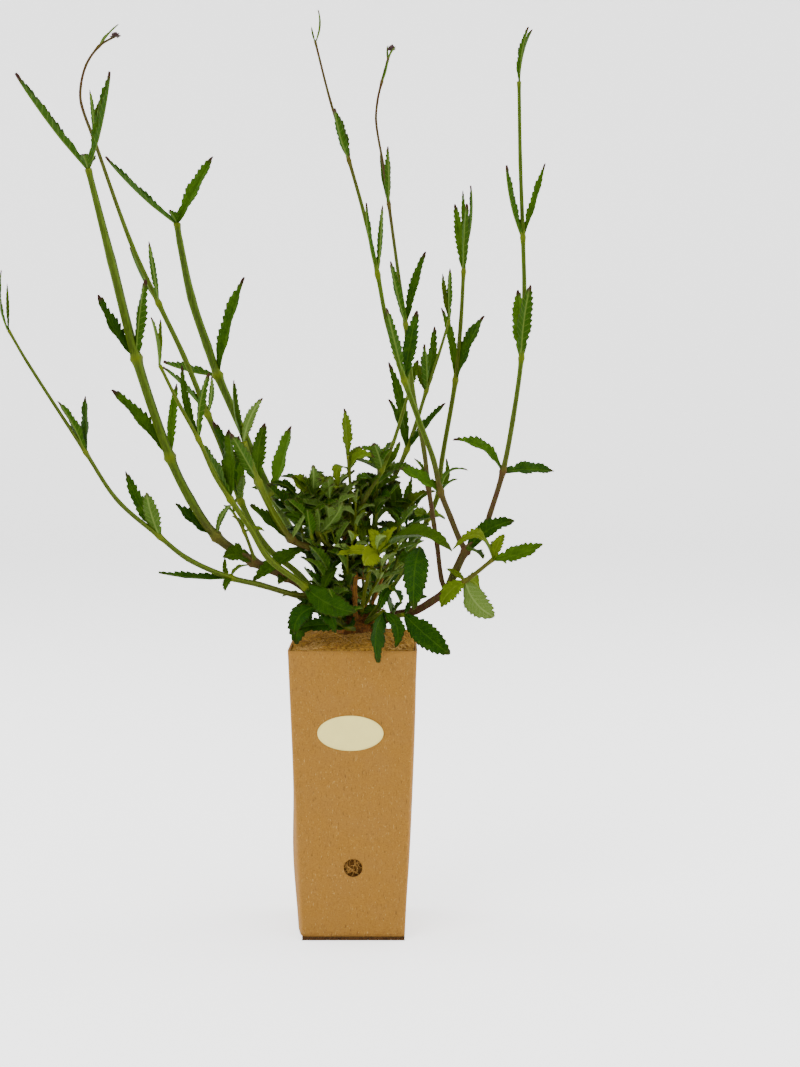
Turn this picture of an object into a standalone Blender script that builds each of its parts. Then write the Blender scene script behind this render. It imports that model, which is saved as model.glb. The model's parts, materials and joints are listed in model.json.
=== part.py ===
"""A young verbena in a tall carton pot, built as its real pieces, in metres with +Z up.

The origin is the middle of the pot's underside, and the front of the pot faces -Y.
"""

import math
import random
from collections import namedtuple

import bmesh
import bpy
from mathutils import Matrix, Vector
from mathutils.geometry import interpolate_bezier

MM = 0.001
GAP = 0.3 * MM
SEED = 41

# The carton pot, a square tube that tapers to its base.
POT_TOP = 90 * MM
POT_BASE = 73 * MM
POT_HEIGHT = 208 * MM
BOARD = 1.5 * MM
WALL_CUTS = 3
# How far the middle of a wall stands out at each quarter of the height, from the base up.
LEFT_BULGE = (4.4 * MM, 5.8 * MM, 3 * MM, 1.6 * MM, 0)
RIGHT_BULGE = (0, 1.4 * MM, 1.6 * MM, 1.2 * MM, 0)
BACK_BULGE = (0, 2.2 * MM, 3 * MM, 2.2 * MM, 0)
DRAIN_HEIGHT = 53 * MM
DRAIN_DIAMETER = 13 * MM
DRAIN_SIDES = 20

# The glued bottom flap under the pot, whose cut edge shows at the front.
FLAP_THICKNESS = 2.5 * MM
FLAP_INSET = 0.8 * MM
POT_FLOOR = FLAP_THICKNESS + GAP

# The oval paper label on the front.
LABEL_WIDTH = 46 * MM
LABEL_HEIGHT = 25 * MM
LABEL_THICKNESS = 0.6 * MM
LABEL_CENTRE = (-1.5 * MM, 150 * MM)
LABEL_SIDES = 28

# The soil, with a mound round the crown.
SOIL_LEVEL = 206.5 * MM
MOUND_HEIGHT = 10.5 * MM
MOUND_CENTRE = (3 * MM, -4 * MM)
MOUND_SPREAD = 21 * MM
SOIL_ROUGHNESS = 0.9 * MM
SOIL_GAP = 1 * MM

# The woody crown that the stems grow from.
CROWN_CENTRE = Vector((3, -2, 219)) * MM
CROWN_RADII = Vector((19, 17, 11)) * MM
CROWN_LUMP = 0.07
SOCKET_CLEARANCE = 0.8 * MM
SOCKET_LENGTH = 15 * MM
SOCKET_SIDES_LEVEL = 1

# Stems are square in section, swell a little at each joint, and bend smoothly.
STEM_STEP = 36 * MM
CORNER_RATIO = 1.1
JOINT_SWELL = 1.06
WAIST = 0.94
BUD_LENGTH = 4 * MM
BUD_WIDTH = 3.4 * MM

# Leaves are toothed blades, folded along the midrib.
LEAF_THICKNESS = 0.72 * MM
ROOT_SHARE = 0.2
WIDEST_AT = 0.42
TIP_SHARE = 0.05
NOTCH_DEPTH = 0.3
NOTCH_STEP = 0.4
FIRST_TOOTH = 0.3
LAST_TOOTH = 0.9
NARROW = 7
TOOTHED_LENGTHS = (18, 18, 40)
FLAT_LENGTH = 30

# A stem's joints run from its root to its tip, as (x, y, z, girth) in millimetres.
# A leaf is (joint, heading, rise, length, width, fold, arch, turn). Its heading is 0 to the right and
# 90 to the back, its rise is from the level, its fold lifts each half, and its turn rolls the blade
# about its midrib, all in degrees. Its length, width and arch are in millimetres.
Stem = namedtuple("Stem", "joints leaves")

LEFT_TALL = Stem(
    [(-8, 1, 216, 6.4), (-33, -10, 246, 6.2), (-47, -18, 257, 6.2), (-70, -29, 269, 6.4),
     (-94, -37, 287, 6.4), (-111, -42, 313, 6.4), (-124, -46, 342, 6.6), (-145, -52, 409, 6.8),
     (-160, -57, 474, 6.2), (-174, -60, 534, 4)],
    [(9, 190, 53, 76, 12, 50, 0, -4), (9, 33, 76, 67, 12, 50, 0, -5), (9, 265, 35, 14, 9, 30, 2, 0),
     (9, 80, 40, 16, 9, 30, 2, 0), (7, 200, 59, 49, 14, 25, -2, -50), (7, 300, 70, 55, 11, 25, 1, -60),
     (6, 190, 50, 60, 15, 30, 2, -45), (6, 75, 75, 52, 9, 35, 3, 40), (4, 190, 40, 36, 14, 30, -1, -45),
     (4, 310, 50, 30, 6, 30, 4, -30), (3, 230, 10, 28, 17, 20, 4, -55), (2, 245, -20, 12, 8, 20, 2, -30)])

LEFT_TALL_SHOOT = Stem(
    [(-68, -32, 270, 2.8), (-75, -34, 290, 2.4), (-82, -35, 303, 1.6)],
    [(1, 335, 5, 16, 6, 20, 2, 30), (1, 160, 50, 14, 5, 25, 2, -20), (2, 200, 40, 9, 4, 30, 1, 0),
     (2, 60, 70, 11, 4, 30, 1, 0)])

LEFT_CURLED = Stem(
    [(-7, 9, 216, 5), (-40, 22, 253, 5), (-65, 28, 274, 5), (-84, 36, 306, 4.8), (-98, 42, 345, 4.6),
     (-109, 46, 370, 4.6), (-127, 52, 413, 4.2), (-146, 58, 452, 4), (-167, 62, 498, 3.6),
     (-193, 64, 572, 2.8), (-202, 64, 598, 2.2), (-202, 63, 611, 2), (-197, 60, 626, 1.9),
     (-187, 56, 638, 1.9), (-178, 54, 643, 1.6), (-174, 52, 644, 1.5)],
    [(13, 15, 50, 22, 1.8, 30, 1, 0), (13, 325, 40, 14, 1.6, 30, 1, 0), (9, 255, 80, 36, 5, 40, 2, 20),
     (9, 60, 75, 34, 5, 40, 2, 0), (7, 245, 75, 46, 6, 30, 0, 40), (7, 160, 61, 48, 8, 40, -1, 0),
     (5, 170, 46, 49, 9, 45, 3, 0), (5, 315, 80, 29, 6, 40, -2, -40), (3, 165, 70, 63, 13, 30, 3, -40),
     (3, 105, 80, 49, 11, 30, 2, -40), (3, 285, 55, 25, 11, 20, 3, 40)])

LEFT_THICK = Stem(
    [(0, 12.5, 216, 5.6), (-24, 26, 259, 6), (-44, 40, 280, 6), (-62, 52, 309, 6.2), (-83, 62, 353, 6.6),
     (-104, 70, 399, 7), (-112, 73, 421, 7.2), (-124, 77, 457, 7), (-133, 81, 500, 5.4), (-135, 82, 513, 5)],
    [(9, 175, 43, 74, 11, 50, -1, -5), (9, 341, 58, 57, 14, 25, 1, 75), (9, 250, 35, 15, 9, 30, 2, 0),
     (9, 70, 45, 17, 9, 30, 2, 0), (5, 342, 73, 76, 16, 30, 3, 65), (5, 160, 13, 47, 13, 40, 0, 25),
     (3, 334, 73, 55, 18, 20, 1, 65), (3, 155, 20, 19, 10, 30, 2, -30)])

LEFT_SLENDER = Stem(
    [(-4.5, -12, 216, 4.2), (-33, -37, 252, 4.2), (-57, -49, 273, 4.4), (-69, -53, 294, 4.2),
     (-82, -57, 314, 4), (-92, -61, 331, 3.4), (-102, -66, 355, 3.2), (-114, -70, 378, 2.6),
     (-126, -74, 404, 2.2)],
    [(8, 215, 80, 32, 5, 40, 2, -20), (8, 90, 80, 31, 5, 40, -2, -20), (6, 305, 70, 47, 8, 30, 4, -60),
     (6, 150, 75, 51, 7, 30, -3, -45), (4, 160, 60, 44, 13, 35, 3, 30), (4, 100, 80, 48, 16, 20, 2, -55),
     (1, 335, -22, 42, 20, 15, -3, 60)])

LEFT_LOW = Stem(
    [(-10, -6, 217, 3.8), (-29, -23, 243, 3.8), (-40, -28, 245, 3.8), (-64, -42, 254, 3.8),
     (-83, -52, 260, 3.6), (-110, -64, 274, 3.4), (-128, -72, 290, 3.2), (-154, -82, 315, 2.8),
     (-173, -90, 347, 2.6), (-207, -102, 405, 2), (-218, -106, 426, 1.8)],
    [(10, 180, 85, 38, 3.5, 35, -3, 0), (10, 105, 75, 31, 3, 35, -2, 0), (8, 207, 62, 38, 8, 30, 2, 40),
     (8, 100, 75, 38, 9, 20, 0, -50), (6, 160, 60, 50, 11, 25, -2, -40), (6, 230, 70, 32, 12, 15, -1, 40),
     (4, 195, 6, 49, 10, 25, -1, -25), (4, 255, -35, 13, 7, 20, 2, 0), (4, 35, 30, 16, 6, 20, 3, 0),
     (4, 115, 50, 17, 5, 20, -6, 0), (1, 202, -70, 35, 18, 15, 3, -60)])

CENTRE_TRUNK = Stem([(0, 0, 216, 5.6), (-3, 0, 240, 6), (-6, 1, 270, 6), (-5, 2, 300, 5)], [])

CENTRE_FRONT = Stem(
    [(-6, 0, 275, 4.6), (-22, -10, 276, 4.6), (-32, -18, 278, 4.8), (-43, -26, 284, 5), (-52, -34, 298, 4.6),
     (-64, -46, 325, 4.2), (-73, -54, 353, 3.4)],
    [(6, 150, 80, 42, 8, 40, -2, 0), (6, 325, 60, 34, 8, 25, 3, -45), (6, 60, 55, 25, 9, 30, 2, 30),
     (5, 225, 55, 41, 12, 25, 0, 60), (5, 50, 80, 41, 12, 15, 3, 60), (3, 315, 50, 27, 7, 45, 0, -30),
     (3, 205, 40, 39, 15, 25, 0, -45), (2, 206, -29, 48, 15, 30, 3, -40)])

CENTRE_RIGHT = Stem(
    [(-5, 2, 294, 3.8), (9, 8, 298, 3.8), (24, 14, 317, 3.6), (38, 20, 345, 3.6), (47, 26, 371, 2.8),
     (52, 28, 387, 2.8), (61, 33, 413, 2.2), (69, 36, 439, 2)],
    [(7, 145, 80, 34, 6, 35, -1, -30), (7, 275, 85, 37, 6, 35, 3, -30), (5, 260, 75, 35, 10, 20, 1, 60),
     (5, 60, 75, 49, 9, 12, -2, 60), (5, 135, 65, 22, 9, 20, 1, -40), (3, 147, 76, 65, 9, 20, 3, -50),
     (3, 220, 65, 40, 9, 30, 2, -80), (3, 345, 50, 44, 10, 30, 1, 50)])

CENTRE_INNER = Stem(
    [(-5, 1, 286, 3.4), (10, -6, 314, 3.4), (20, -7, 331, 3.2), (28, -2, 350, 3), (35, 6, 372, 2.6),
     (39, 10, 385, 2.2)],
    [(5, 100, 80, 30, 8, 25, 1, -30), (5, 38, 70, 26, 8, 25, 1, 40), (2, 240, 60, 23, 12, 15, 1, 60),
     (2, 55, 15, 16, 8, 20, 3, 30), (2, 25, 55, 25, 8, 35, -2, 30)])

CENTRE_TIP = Stem(
    [(-5, 0, 284, 2.8), (-2, -9, 314, 2.6), (-3, -10, 332, 2.4), (-4, -10, 342, 1.8)],
    [(3, 225, 85, 33, 11, 12, 1, -90), (2, 335, 25, 22, 12, 25, 6, 50), (2, 240, -45, 19, 9, 25, 12, -20),
     (2, 55, 50, 21, 9, 20, 2, 50)])

CENTRE_TUFT_LEFT = Stem(
    [(-6, 1, 268, 4), (-19, -16, 280, 3.8), (-24, -20, 288, 3.6), (-27, -22, 301, 3.2), (-29, -22, 313, 2.6)],
    [(4, 205, 45, 21, 18, 20, 2, -55), (4, 315, 85, 23, 10, 15, -2, -60), (4, 40, 50, 19, 14, 20, 4, 30),
     (4, 125, 40, 16, 14, 20, 3, -40), (3, 165, 20, 24, 12, 25, 2, -40), (3, 320, 50, 29, 15, 20, 4, 45),
     (2, 320, 45, 32, 12, 30, -2, -45), (2, 235, 40, 26, 13, 25, 3, -50), (2, 270, 40, 29, 10, 20, 2, 50)])

CENTRE_TUFT_RIGHT = Stem(
    [(-5, 2, 272, 3.6), (3, 14, 290, 3.4), (7, 15, 300, 3)],
    [(2, 115, 70, 19, 13, 20, 2, -50), (2, 320, 55, 21, 15, 20, 3, 55), (2, 135, 40, 19, 13, 20, 3, -40),
     (2, 60, 20, 16, 13, 20, 4, 50), (1, 220, -10, 22, 8, 25, 3, -40), (1, 300, -5, 19, 13, 20, 4, 60)])

RIGHT_MAIN = Stem(
    [(13, -4, 216, 7), (27, -13, 228, 6.6), (44, -20, 233, 6.2), (54, -23, 239, 6), (65, -26, 248, 6.2),
     (71, -27, 260, 6.6), (79, -28, 276, 6.4), (90, -26, 286, 4.6), (96, -24, 302, 4.4),
     (105, -20, 331, 4.4), (112, -16, 367, 4), (118, -12, 410, 3.8), (120, -9, 451, 3.6),
     (119, -6, 494, 3.4), (117, -3, 548, 3), (116, 0, 602, 2.8)],
    [(15, 305, 75, 37, 6, 45, 4, 20), (15, 43, 71, 40, 6, 45, 4, -10), (13, 205, 75, 51, 9, 50, -1, -25),
     (13, 13, 73, 54, 8, 30, 0, 35), (11, 98, 75, 50, 13, 15, 2, -30), (11, 285, 70, 53, 12, 15, 3, -40),
     (9, 196, 32, 43, 14, 25, 7, -45), (9, 15, 0, 38, 14, 20, 2, 40), (6, 336, 32, 42, 16, 18, 5, 60),
     (6, 305, -10, 20, 12, 20, 4, -20)])

RIGHT_TALL = Stem(
    [(79, -28, 276, 4.6), (75, -29, 283, 4.6), (68, -32, 300, 4.4), (61, -35, 318, 4.6), (56, -38, 340, 4.2),
     (46, -42, 367, 4.2), (36, -45, 394, 4.2), (24, -49, 434, 3.4), (18, -52, 465, 3.4),
     (10, -54, 501, 2.9), (-1, -56, 540, 2.6), (-13, -58, 578, 1.8), (-23, -60, 617, 1.6)],
    [(12, 0, 85, 20, 1.8, 30, -2, 0), (12, 115, 60, 12, 1.6, 30, -1, 0), (10, 220, 70, 35, 8, 35, -1, 30),
     (10, 130, 70, 34, 7, 35, 1, 0), (8, 210, 80, 48, 6, 40, -1, -20), (8, 325, 85, 46, 5, 30, 0, -40),
     (6, 216, 73, 51, 9, 25, 0, 50), (6, 58, 71, 51, 11, 15, 1, 35), (3, 204, 28, 35, 15, 22, 2, -50),
     (3, 60, 70, 24, 5, 20, -6, 0), (3, 325, 35, 27, 6, 20, 8, 0), (3, 20, 35, 15, 5, 20, 2, 0)])

RIGHT_BUDDED = Stem(
    [(65, -26, 248, 4.4), (62, -25, 256, 3.8), (59, -20, 280, 3.8), (57, -18, 293, 3.8), (53, -14, 320, 3.8),
     (50, -10, 345, 3.8), (42, -2, 388, 3.6), (37, 6, 434, 3.4), (32, 12, 469, 2.8), (25, 18, 520, 2.6),
     (21, 20, 548, 2), (16, 22, 578, 1.8), (17, 22, 593, 1.8), (20, 22, 606, 1.9), (24, 21, 620, 1.6),
     (27, 20, 628, 1.5)],
    [(13, 310, 65, 17, 2.4, 35, -1, 0), (13, 65, 65, 15, 2.4, 35, -1, 0), (14, 325, 55, 12, 1.8, 30, 1, 0),
     (14, 90, 70, 13, 1.8, 30, 1, 0), (9, 265, 80, 40, 7, 35, -2, 30), (9, 125, 75, 40, 5, 35, -2, 0),
     (7, 212, 74, 46, 8, 35, 0, 35), (7, 33, 72, 55, 9, 25, 2, 30), (4, 135, 55, 24, 5, 20, 3, 0)])

RIGHT_LOW_SHOOT = Stem(
    [(66, -27, 249, 3.4), (78, -38, 256, 3.4), (97, -46, 272, 2.8)],
    [(2, 345, 18, 36, 14, 20, -1, 55), (2, 45, 55, 20, 9, 25, 2, 40), (2, 85, 35, 17, 12, 15, 2, 60),
     (2, 205, 15, 32, 12, 25, 14, -45), (2, 45, -15, 14, 8, 15, 2, 40), (1, 320, -42, 34, 19, 15, -4, -115),
     (1, 35, -25, 15, 15, 15, 3, 60), (1, 140, 25, 18, 6, 20, 1, -30), (1, 205, -42, 25, 14, 15, 3, -60)])

RIGHT_BACK = Stem(
    [(14, 5, 216, 4.4), (23, 22, 248, 4.2), (39, 32, 266, 4.2), (54, 40, 294, 4.2), (61, 42, 311, 4.2),
     (64, 45, 336, 4), (74, 50, 395, 4), (78, 54, 438, 3.4), (80, 56, 475, 3.2), (81, 57, 491, 2.4)],
    [(8, 122, 77, 52, 9, 15, 1, -50), (8, 278, 75, 50, 8, 20, 1, -50), (9, 100, 80, 45, 5, 30, -1, 0),
     (9, 335, 85, 47, 7, 30, -2, 30), (6, 155, 78, 55, 8, 25, 3, -50), (6, 340, 65, 52, 16, 15, 3, 55),
     (3, 145, -5, 18, 14, 20, 4, -40), (3, 40, -5, 16, 12, 20, 3, 30)])

BACK_SHOOT = Stem(
    [(8, 11, 217, 3.8), (18, 16, 253, 3.6), (26, 18, 276, 3.4), (31, 18, 293, 3.2)],
    [(3, 145, 80, 35, 12, 20, 2, -55), (3, 45, 65, 35, 8, 25, -2, 20), (3, 335, 45, 32, 16, 25, 3, 45),
     (3, 120, 45, 27, 13, 20, 3, -50), (2, 35, 20, 21, 16, 20, 4, 40), (1, 110, 10, 21, 11, 20, 3, 30)])

BACK_LEAVES = Stem(
    [(10, 12, 226, 3.4), (12, 36, 231, 3.2), (17, 50, 238, 2.8)],
    [(2, 45, 25, 49, 18, 20, 6, 40), (2, 140, 35, 48, 18, 20, 6, -40), (2, 75, -30, 41, 20, 20, 8, 60),
     (2, 125, -35, 43, 18, 20, 8, -60), (1, 160, 15, 34, 14, 20, 4, -40)])

# Short growth that is one piece with the crown: old stubs, young shoots and the lowest leaves.
CROWN_STUB = Stem([(2, -14, 221, 4.4), (1, -16, 240, 4.2), (2, -17, 260, 3.8)], [])
CROWN_TWIG = Stem([(9, 3, 223, 2.8), (17, 3, 245, 2.4), (25, 3, 265, 2.2)], [])

CROWN_SHOOT = Stem(
    [(4, -8, 222, 3.4), (11, -22, 259, 2.8), (18, -28, 274, 2.6)],
    [(2, 340, 55, 23, 12, 20, 2, 50), (2, 310, 30, 15, 9, 15, 2, 60), (2, 145, 60, 15, 11, 20, 3, -50),
     (2, 235, -20, 18, 17, 15, 3, -60), (2, 190, 0, 29, 10, 25, 3, -50), (2, 330, 5, 58, 22, 30, 14, 20)])

CROWN_HANGING = Stem(
    [(7, -10, 221, 3.4), (27, -30, 250, 3.2), (43, -40, 274, 3), (47, -42, 280, 2.6)],
    [(3, 260, -55, 48, 20, 15, 10, -25), (2, 215, -15, 14, 10, 20, 2, -50), (1, 240, -40, 21, 9, 25, 3, -40),
     (1, 290, -20, 21, 11, 25, 4, -40)])

CROWN_LEAVES_LEFT = Stem(
    [(4, -10, 219, 3.4), (-4, -27, 222, 3.2), (-26, -37, 238, 2.6)],
    [(2, 200, -50, 24, 15, 20, 5, -60), (2, 316, -38, 26, 14, 25, 5, 55), (1, 195, 0, 36, 13, 20, 3, -60),
     (1, 285, 10, 18, 12, 20, 3, 40)])

CROWN_LEAVES_FRONT = Stem(
    [(6, -10, 221, 3.4), (17, -32, 231, 3.2), (22, -40, 235, 2.8)],
    [(2, 250, -70, 36, 18, 15, 8, -75), (2, 335, -70, 26, 12, 20, 6, 40)])

CROWN_LEAVES_RIGHT = Stem(
    [(10, -11, 219, 3.4), (27, -26, 229, 3.2), (36, -34, 232, 2.8)],
    [(2, 334, -36, 43, 19, 16, -1, 70), (2, 345, 40, 21, 10, 20, 3, 40), (1, 320, 50, 15, 9, 20, 2, 40)])

# Each leafy node is one stem from the crown with its side shoots. The first stem is the one that is rooted.
SPRAYS = {
    "stem_left_tall": [LEFT_TALL, LEFT_TALL_SHOOT],
    "stem_left_curled": [LEFT_CURLED],
    "stem_left_thick": [LEFT_THICK],
    "stem_left_slender": [LEFT_SLENDER],
    "stem_left_low": [LEFT_LOW],
    "stem_centre": [CENTRE_TRUNK, CENTRE_FRONT, CENTRE_RIGHT, CENTRE_INNER, CENTRE_TIP, CENTRE_TUFT_LEFT,
                    CENTRE_TUFT_RIGHT],
    "stem_right_branched": [RIGHT_MAIN, RIGHT_TALL, RIGHT_BUDDED, RIGHT_LOW_SHOOT],
    "stem_right_back": [RIGHT_BACK],
    "stem_back_shoot": [BACK_SHOOT, BACK_LEAVES],
}
CROWN_GROWTH = [CROWN_STUB, CROWN_TWIG, CROWN_SHOOT, CROWN_HANGING, CROWN_LEAVES_LEFT, CROWN_LEAVES_FRONT,
                CROWN_LEAVES_RIGHT]
BUDDED = {"stem_left_curled": LEFT_CURLED, "stem_right_branched": RIGHT_BUDDED}

# Colours are linear, from the light and dark parts of each finish.
KRAFT = (0.40, 0.21, 0.06)
CUT_BOARD = (0.10, 0.05, 0.02)
LABEL_PAPER = (0.78, 0.72, 0.52)
SOIL_BROWN = (0.12, 0.07, 0.035)
BARK = (0.16, 0.06, 0.03)
LEAF_GREEN = (0.09, 0.17, 0.05)


def clear_scene():
    for obj in list(bpy.data.objects):
        bpy.data.objects.remove(obj, do_unlink=True)


def new_collection(name, parent):
    collection = bpy.data.collections.new(name)
    parent.children.link(collection)
    return collection


def principled(name, colour, roughness):
    """A material of one colour and roughness, not metallic."""
    material = bpy.data.materials.new(name)
    material.use_nodes = True
    shader = material.node_tree.nodes["Principled BSDF"]
    shader.inputs["Base Color"].default_value = (*colour, 1)
    shader.inputs["Roughness"].default_value = roughness
    shader.inputs["Metallic"].default_value = 0
    return material


def mesh_object(name, bm, collection):
    """A new object that holds the bmesh, which is freed."""
    mesh = bpy.data.meshes.new(name)
    bm.to_mesh(mesh)
    bm.free()
    obj = bpy.data.objects.new(name, mesh)
    collection.objects.link(obj)
    return obj


def apply_modifiers(obj):
    """Replace the object's mesh with its evaluated mesh, and drop its modifiers."""
    graph = bpy.context.evaluated_depsgraph_get()
    mesh = bpy.data.meshes.new_from_object(obj.evaluated_get(graph))
    obj.modifiers.clear()
    obj.data = mesh


def boolean(obj, operation, collection, solver="EXACT"):
    """Join to or cut from the object all that the collection holds, and remove the collection's objects."""
    modifier = obj.modifiers.new(operation.title(), "BOOLEAN")
    modifier.operation = operation
    modifier.operand_type = "COLLECTION"
    modifier.collection = collection
    modifier.solver = solver
    apply_modifiers(obj)
    for other in list(collection.objects):
        bpy.data.objects.remove(other, do_unlink=True)


def fill_pockets(obj):
    """Fill the tiny pockets that a union closed inside the object, by dropping all but its outer skin."""
    bm = bmesh.new()
    bm.from_mesh(obj.data)
    left = set(bm.verts)
    skins = []
    while left:
        unseen = [left.pop()]
        skin = list(unseen)
        while unseen:
            vert = unseen.pop()
            beside = {edge.other_vert(vert) for edge in vert.link_edges} & left
            left -= beside
            unseen.extend(beside)
            skin.extend(beside)
        skins.append(skin)
    outer = max(skins, key=len)
    inner = [vert for skin in skins if skin is not outer for vert in skin]
    bmesh.ops.delete(bm, geom=inner, context="VERTS")
    bm.to_mesh(obj.data)
    bm.free()


def smooth_path(joints):
    """(place, radius) along a smooth curve through the joints, thinner between them."""
    places = [Vector(joint[:3]) * MM for joint in joints]
    radii = [joint[3] / 2 * MM * CORNER_RATIO for joint in joints]
    slopes = []
    for k in range(len(places)):
        before = places[max(k - 1, 0)]
        after = places[min(k + 1, len(places) - 1)]
        slopes.append((after - before).normalized())
    path = [(places[0], radii[0])]
    for k in range(len(places) - 1):
        span = (places[k + 1] - places[k]).length
        steps = 1 + int(span // STEM_STEP)
        handle = span / 3
        curve = interpolate_bezier(places[k], places[k] + slopes[k] * handle,
                                   places[k + 1] - slopes[k + 1] * handle, places[k + 1], steps + 1)
        for step in range(1, steps + 1):
            share = step / steps
            swell = JOINT_SWELL if step == steps else WAIST
            path.append((curve[step], (radii[k] + (radii[k + 1] - radii[k]) * share) * swell))
    return path


def rod(name, path, sides_level, collection):
    """A closed tube along the path, from a bevelled curve turned into a mesh with its caps welded."""
    curve = bpy.data.curves.new(name, "CURVE")
    curve.dimensions = "3D"
    curve.bevel_depth = 1
    curve.bevel_resolution = sides_level
    curve.use_fill_caps = True
    spline = curve.splines.new("POLY")
    spline.points.add(len(path) - 1)
    for point, (place, radius) in zip(spline.points, path):
        point.co = (*place, 1)
        point.radius = radius
    guide = bpy.data.objects.new(name + "_guide", curve)
    collection.objects.link(guide)
    graph = bpy.context.evaluated_depsgraph_get()
    mesh = bpy.data.meshes.new_from_object(guide.evaluated_get(graph))
    bm = bmesh.new()
    bm.from_mesh(mesh)
    bmesh.ops.remove_doubles(bm, verts=bm.verts, dist=0.01 * MM)
    bmesh.ops.recalc_face_normals(bm, faces=bm.faces)
    obj = mesh_object(name, bm, collection)
    obj.matrix_world = guide.matrix_world.copy()
    bpy.data.objects.remove(guide, do_unlink=True)
    return obj


def blade_rows(length, width):
    """(share of the length, share of the width) of each row: a root, then teeth, then the tip."""
    teeth = sum(length > limit and width > NARROW for limit in TOOTHED_LENGTHS)
    if not teeth:
        return [(0, ROOT_SHARE), (WIDEST_AT, 1), (1, TIP_SHARE)]
    rows = [(0, ROOT_SHARE)]
    pitch = (LAST_TOOTH - FIRST_TOOTH) / (teeth - 0.5)
    for k in range(teeth):
        tooth = FIRST_TOOTH + pitch * k
        rows.append((tooth, outline(tooth)))
        if k < teeth - 1:
            notch = tooth + pitch * NOTCH_STEP
            rows.append((notch, outline(notch) * (1 - NOTCH_DEPTH)))
    return rows + [(1, TIP_SHARE)]


def outline(share):
    """The blade's width at a share of its length, where its widest place is 1."""
    return math.sin(math.pi * share ** (math.log(0.5) / math.log(WIDEST_AT))) ** 0.8


def blade_frame(heading, rise, turn):
    """The blade's direction, the way its arch rises, its side and the way its upper face looks."""
    ahead = Vector((math.cos(heading) * math.cos(rise), math.sin(heading) * math.cos(rise), math.sin(rise)))
    lift = (Vector((0, 0, 1)) - ahead * ahead.z).normalized()
    roll = Matrix.Rotation(turn, 3, ahead)
    face = roll @ lift
    return ahead, lift, face.cross(ahead), face


def leaf_solid(name, root, leaf, collection):
    """A toothed blade from a grid three points wide, bent by formula and given its thickness."""
    heading, rise, fold, turn = (math.radians(leaf[k]) for k in (1, 2, 5, 7))
    length, width, arch = leaf[3] * MM, leaf[4] * MM, leaf[6] * MM
    ahead, lift, side, face = blade_frame(heading, rise, turn)
    rows = blade_rows(leaf[3], leaf[4])
    halves = 2 if leaf[3] > FLAT_LENGTH else 1
    bm = bmesh.new()
    bmesh.ops.create_grid(bm, x_segments=len(rows) - 1, y_segments=halves, size=0.5)
    for vert in bm.verts:
        share, reach = rows[round((vert.co.x + 0.5) * (len(rows) - 1))]
        across = vert.co.y * reach * width
        raised = (abs(across) - reach * width / 4) * math.sin(fold) * (halves - 1)
        vert.co = (root + ahead * length * share + lift * arch * 4 * share * (1 - share)
                   + side * across * math.cos(fold) + face * raised)
    bmesh.ops.triangulate(bm, faces=bm.faces, quad_method="SHORT_EDGE")
    obj = mesh_object(name, bm, collection)
    shell = obj.modifiers.new("Thickness", "SOLIDIFY")
    shell.thickness = LEAF_THICKNESS
    shell.offset = 0
    apply_modifiers(obj)
    return obj


def bud_solid(name, joint, collection):
    """A small flower bud at the tip of a stem."""
    bm = bmesh.new()
    bmesh.ops.create_icosphere(bm, subdivisions=1, radius=0.5)
    bmesh.ops.scale(bm, vec=(BUD_WIDTH, BUD_WIDTH, BUD_LENGTH), verts=bm.verts)
    bmesh.ops.translate(bm, vec=Vector(joint[:3]) * MM, verts=bm.verts)
    return mesh_object(name, bm, collection)


def grow(name, stems, collection):
    """Solids of every stem and leaf, in the collection. Returns the first stem's solid."""
    first = None
    for k, stem in enumerate(stems):
        solid = rod(f"{name}_rod_{k}", smooth_path(stem.joints), 0, collection)
        first = first or solid
        for n, leaf in enumerate(stem.leaves):
            leaf_solid(f"{name}_leaf_{k}_{n}", Vector(stem.joints[leaf[0]][:3]) * MM, leaf, collection)
    return first


def make_spray(name, stems, parts, repeats, material):
    """One leafy node: a stem from the crown, fused with its side shoots, leaves and buds."""
    spray = grow(name, stems, repeats)
    if name in BUDDED:
        bud_solid(name + "_bud", BUDDED[name].joints[-1], repeats)
    repeats.objects.unlink(spray)
    parts.objects.link(spray)
    boolean(spray, "UNION", repeats, "MANIFOLD")
    fill_pockets(spray)
    spray.name = name
    spray.data.materials.clear()
    spray.data.materials.append(material)
    return spray


def crown_lump(bm, extra):
    """Shape a unit sphere into the lumpy crown, grown by extra all round."""
    for vert in bm.verts:
        bearing = math.atan2(vert.co.y, vert.co.x)
        lump = 1 + CROWN_LUMP * math.sin(3 * bearing + 1) * (1 - abs(vert.co.z))
        spread = Vector(radius + extra for radius in CROWN_RADII) * lump
        vert.co = CROWN_CENTRE + Matrix.Diagonal(spread) @ vert.co


def crown_body(name, extra, collection):
    bm = bmesh.new()
    bmesh.ops.create_uvsphere(bm, u_segments=12, v_segments=7, radius=1)
    crown_lump(bm, extra)
    return mesh_object(name, bm, collection)


def make_crown(parts, repeats, cutters, material):
    """The woody crown with its stubs, shoots and lowest leaves, and a round socket for each stem."""
    crown = crown_body("crown", 0, parts)
    grow("crown", CROWN_GROWTH, repeats)
    boolean(crown, "UNION", repeats, "MANIFOLD")
    for name, stems in SPRAYS.items():
        root, above = smooth_path(stems[0].joints)[:2]
        rise = (above[0] - root[0]).normalized()
        radius = root[1] * JOINT_SWELL + SOCKET_CLEARANCE
        ends = [(root[0] - rise * SOCKET_CLEARANCE, radius), (root[0] + rise * SOCKET_LENGTH, radius)]
        rod(name + "_socket", ends, SOCKET_SIDES_LEVEL, cutters)
    boolean(crown, "DIFFERENCE", cutters, "MANIFOLD")
    fill_pockets(crown)
    crown.data.materials.clear()
    crown.data.materials.append(material)
    return crown


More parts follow.
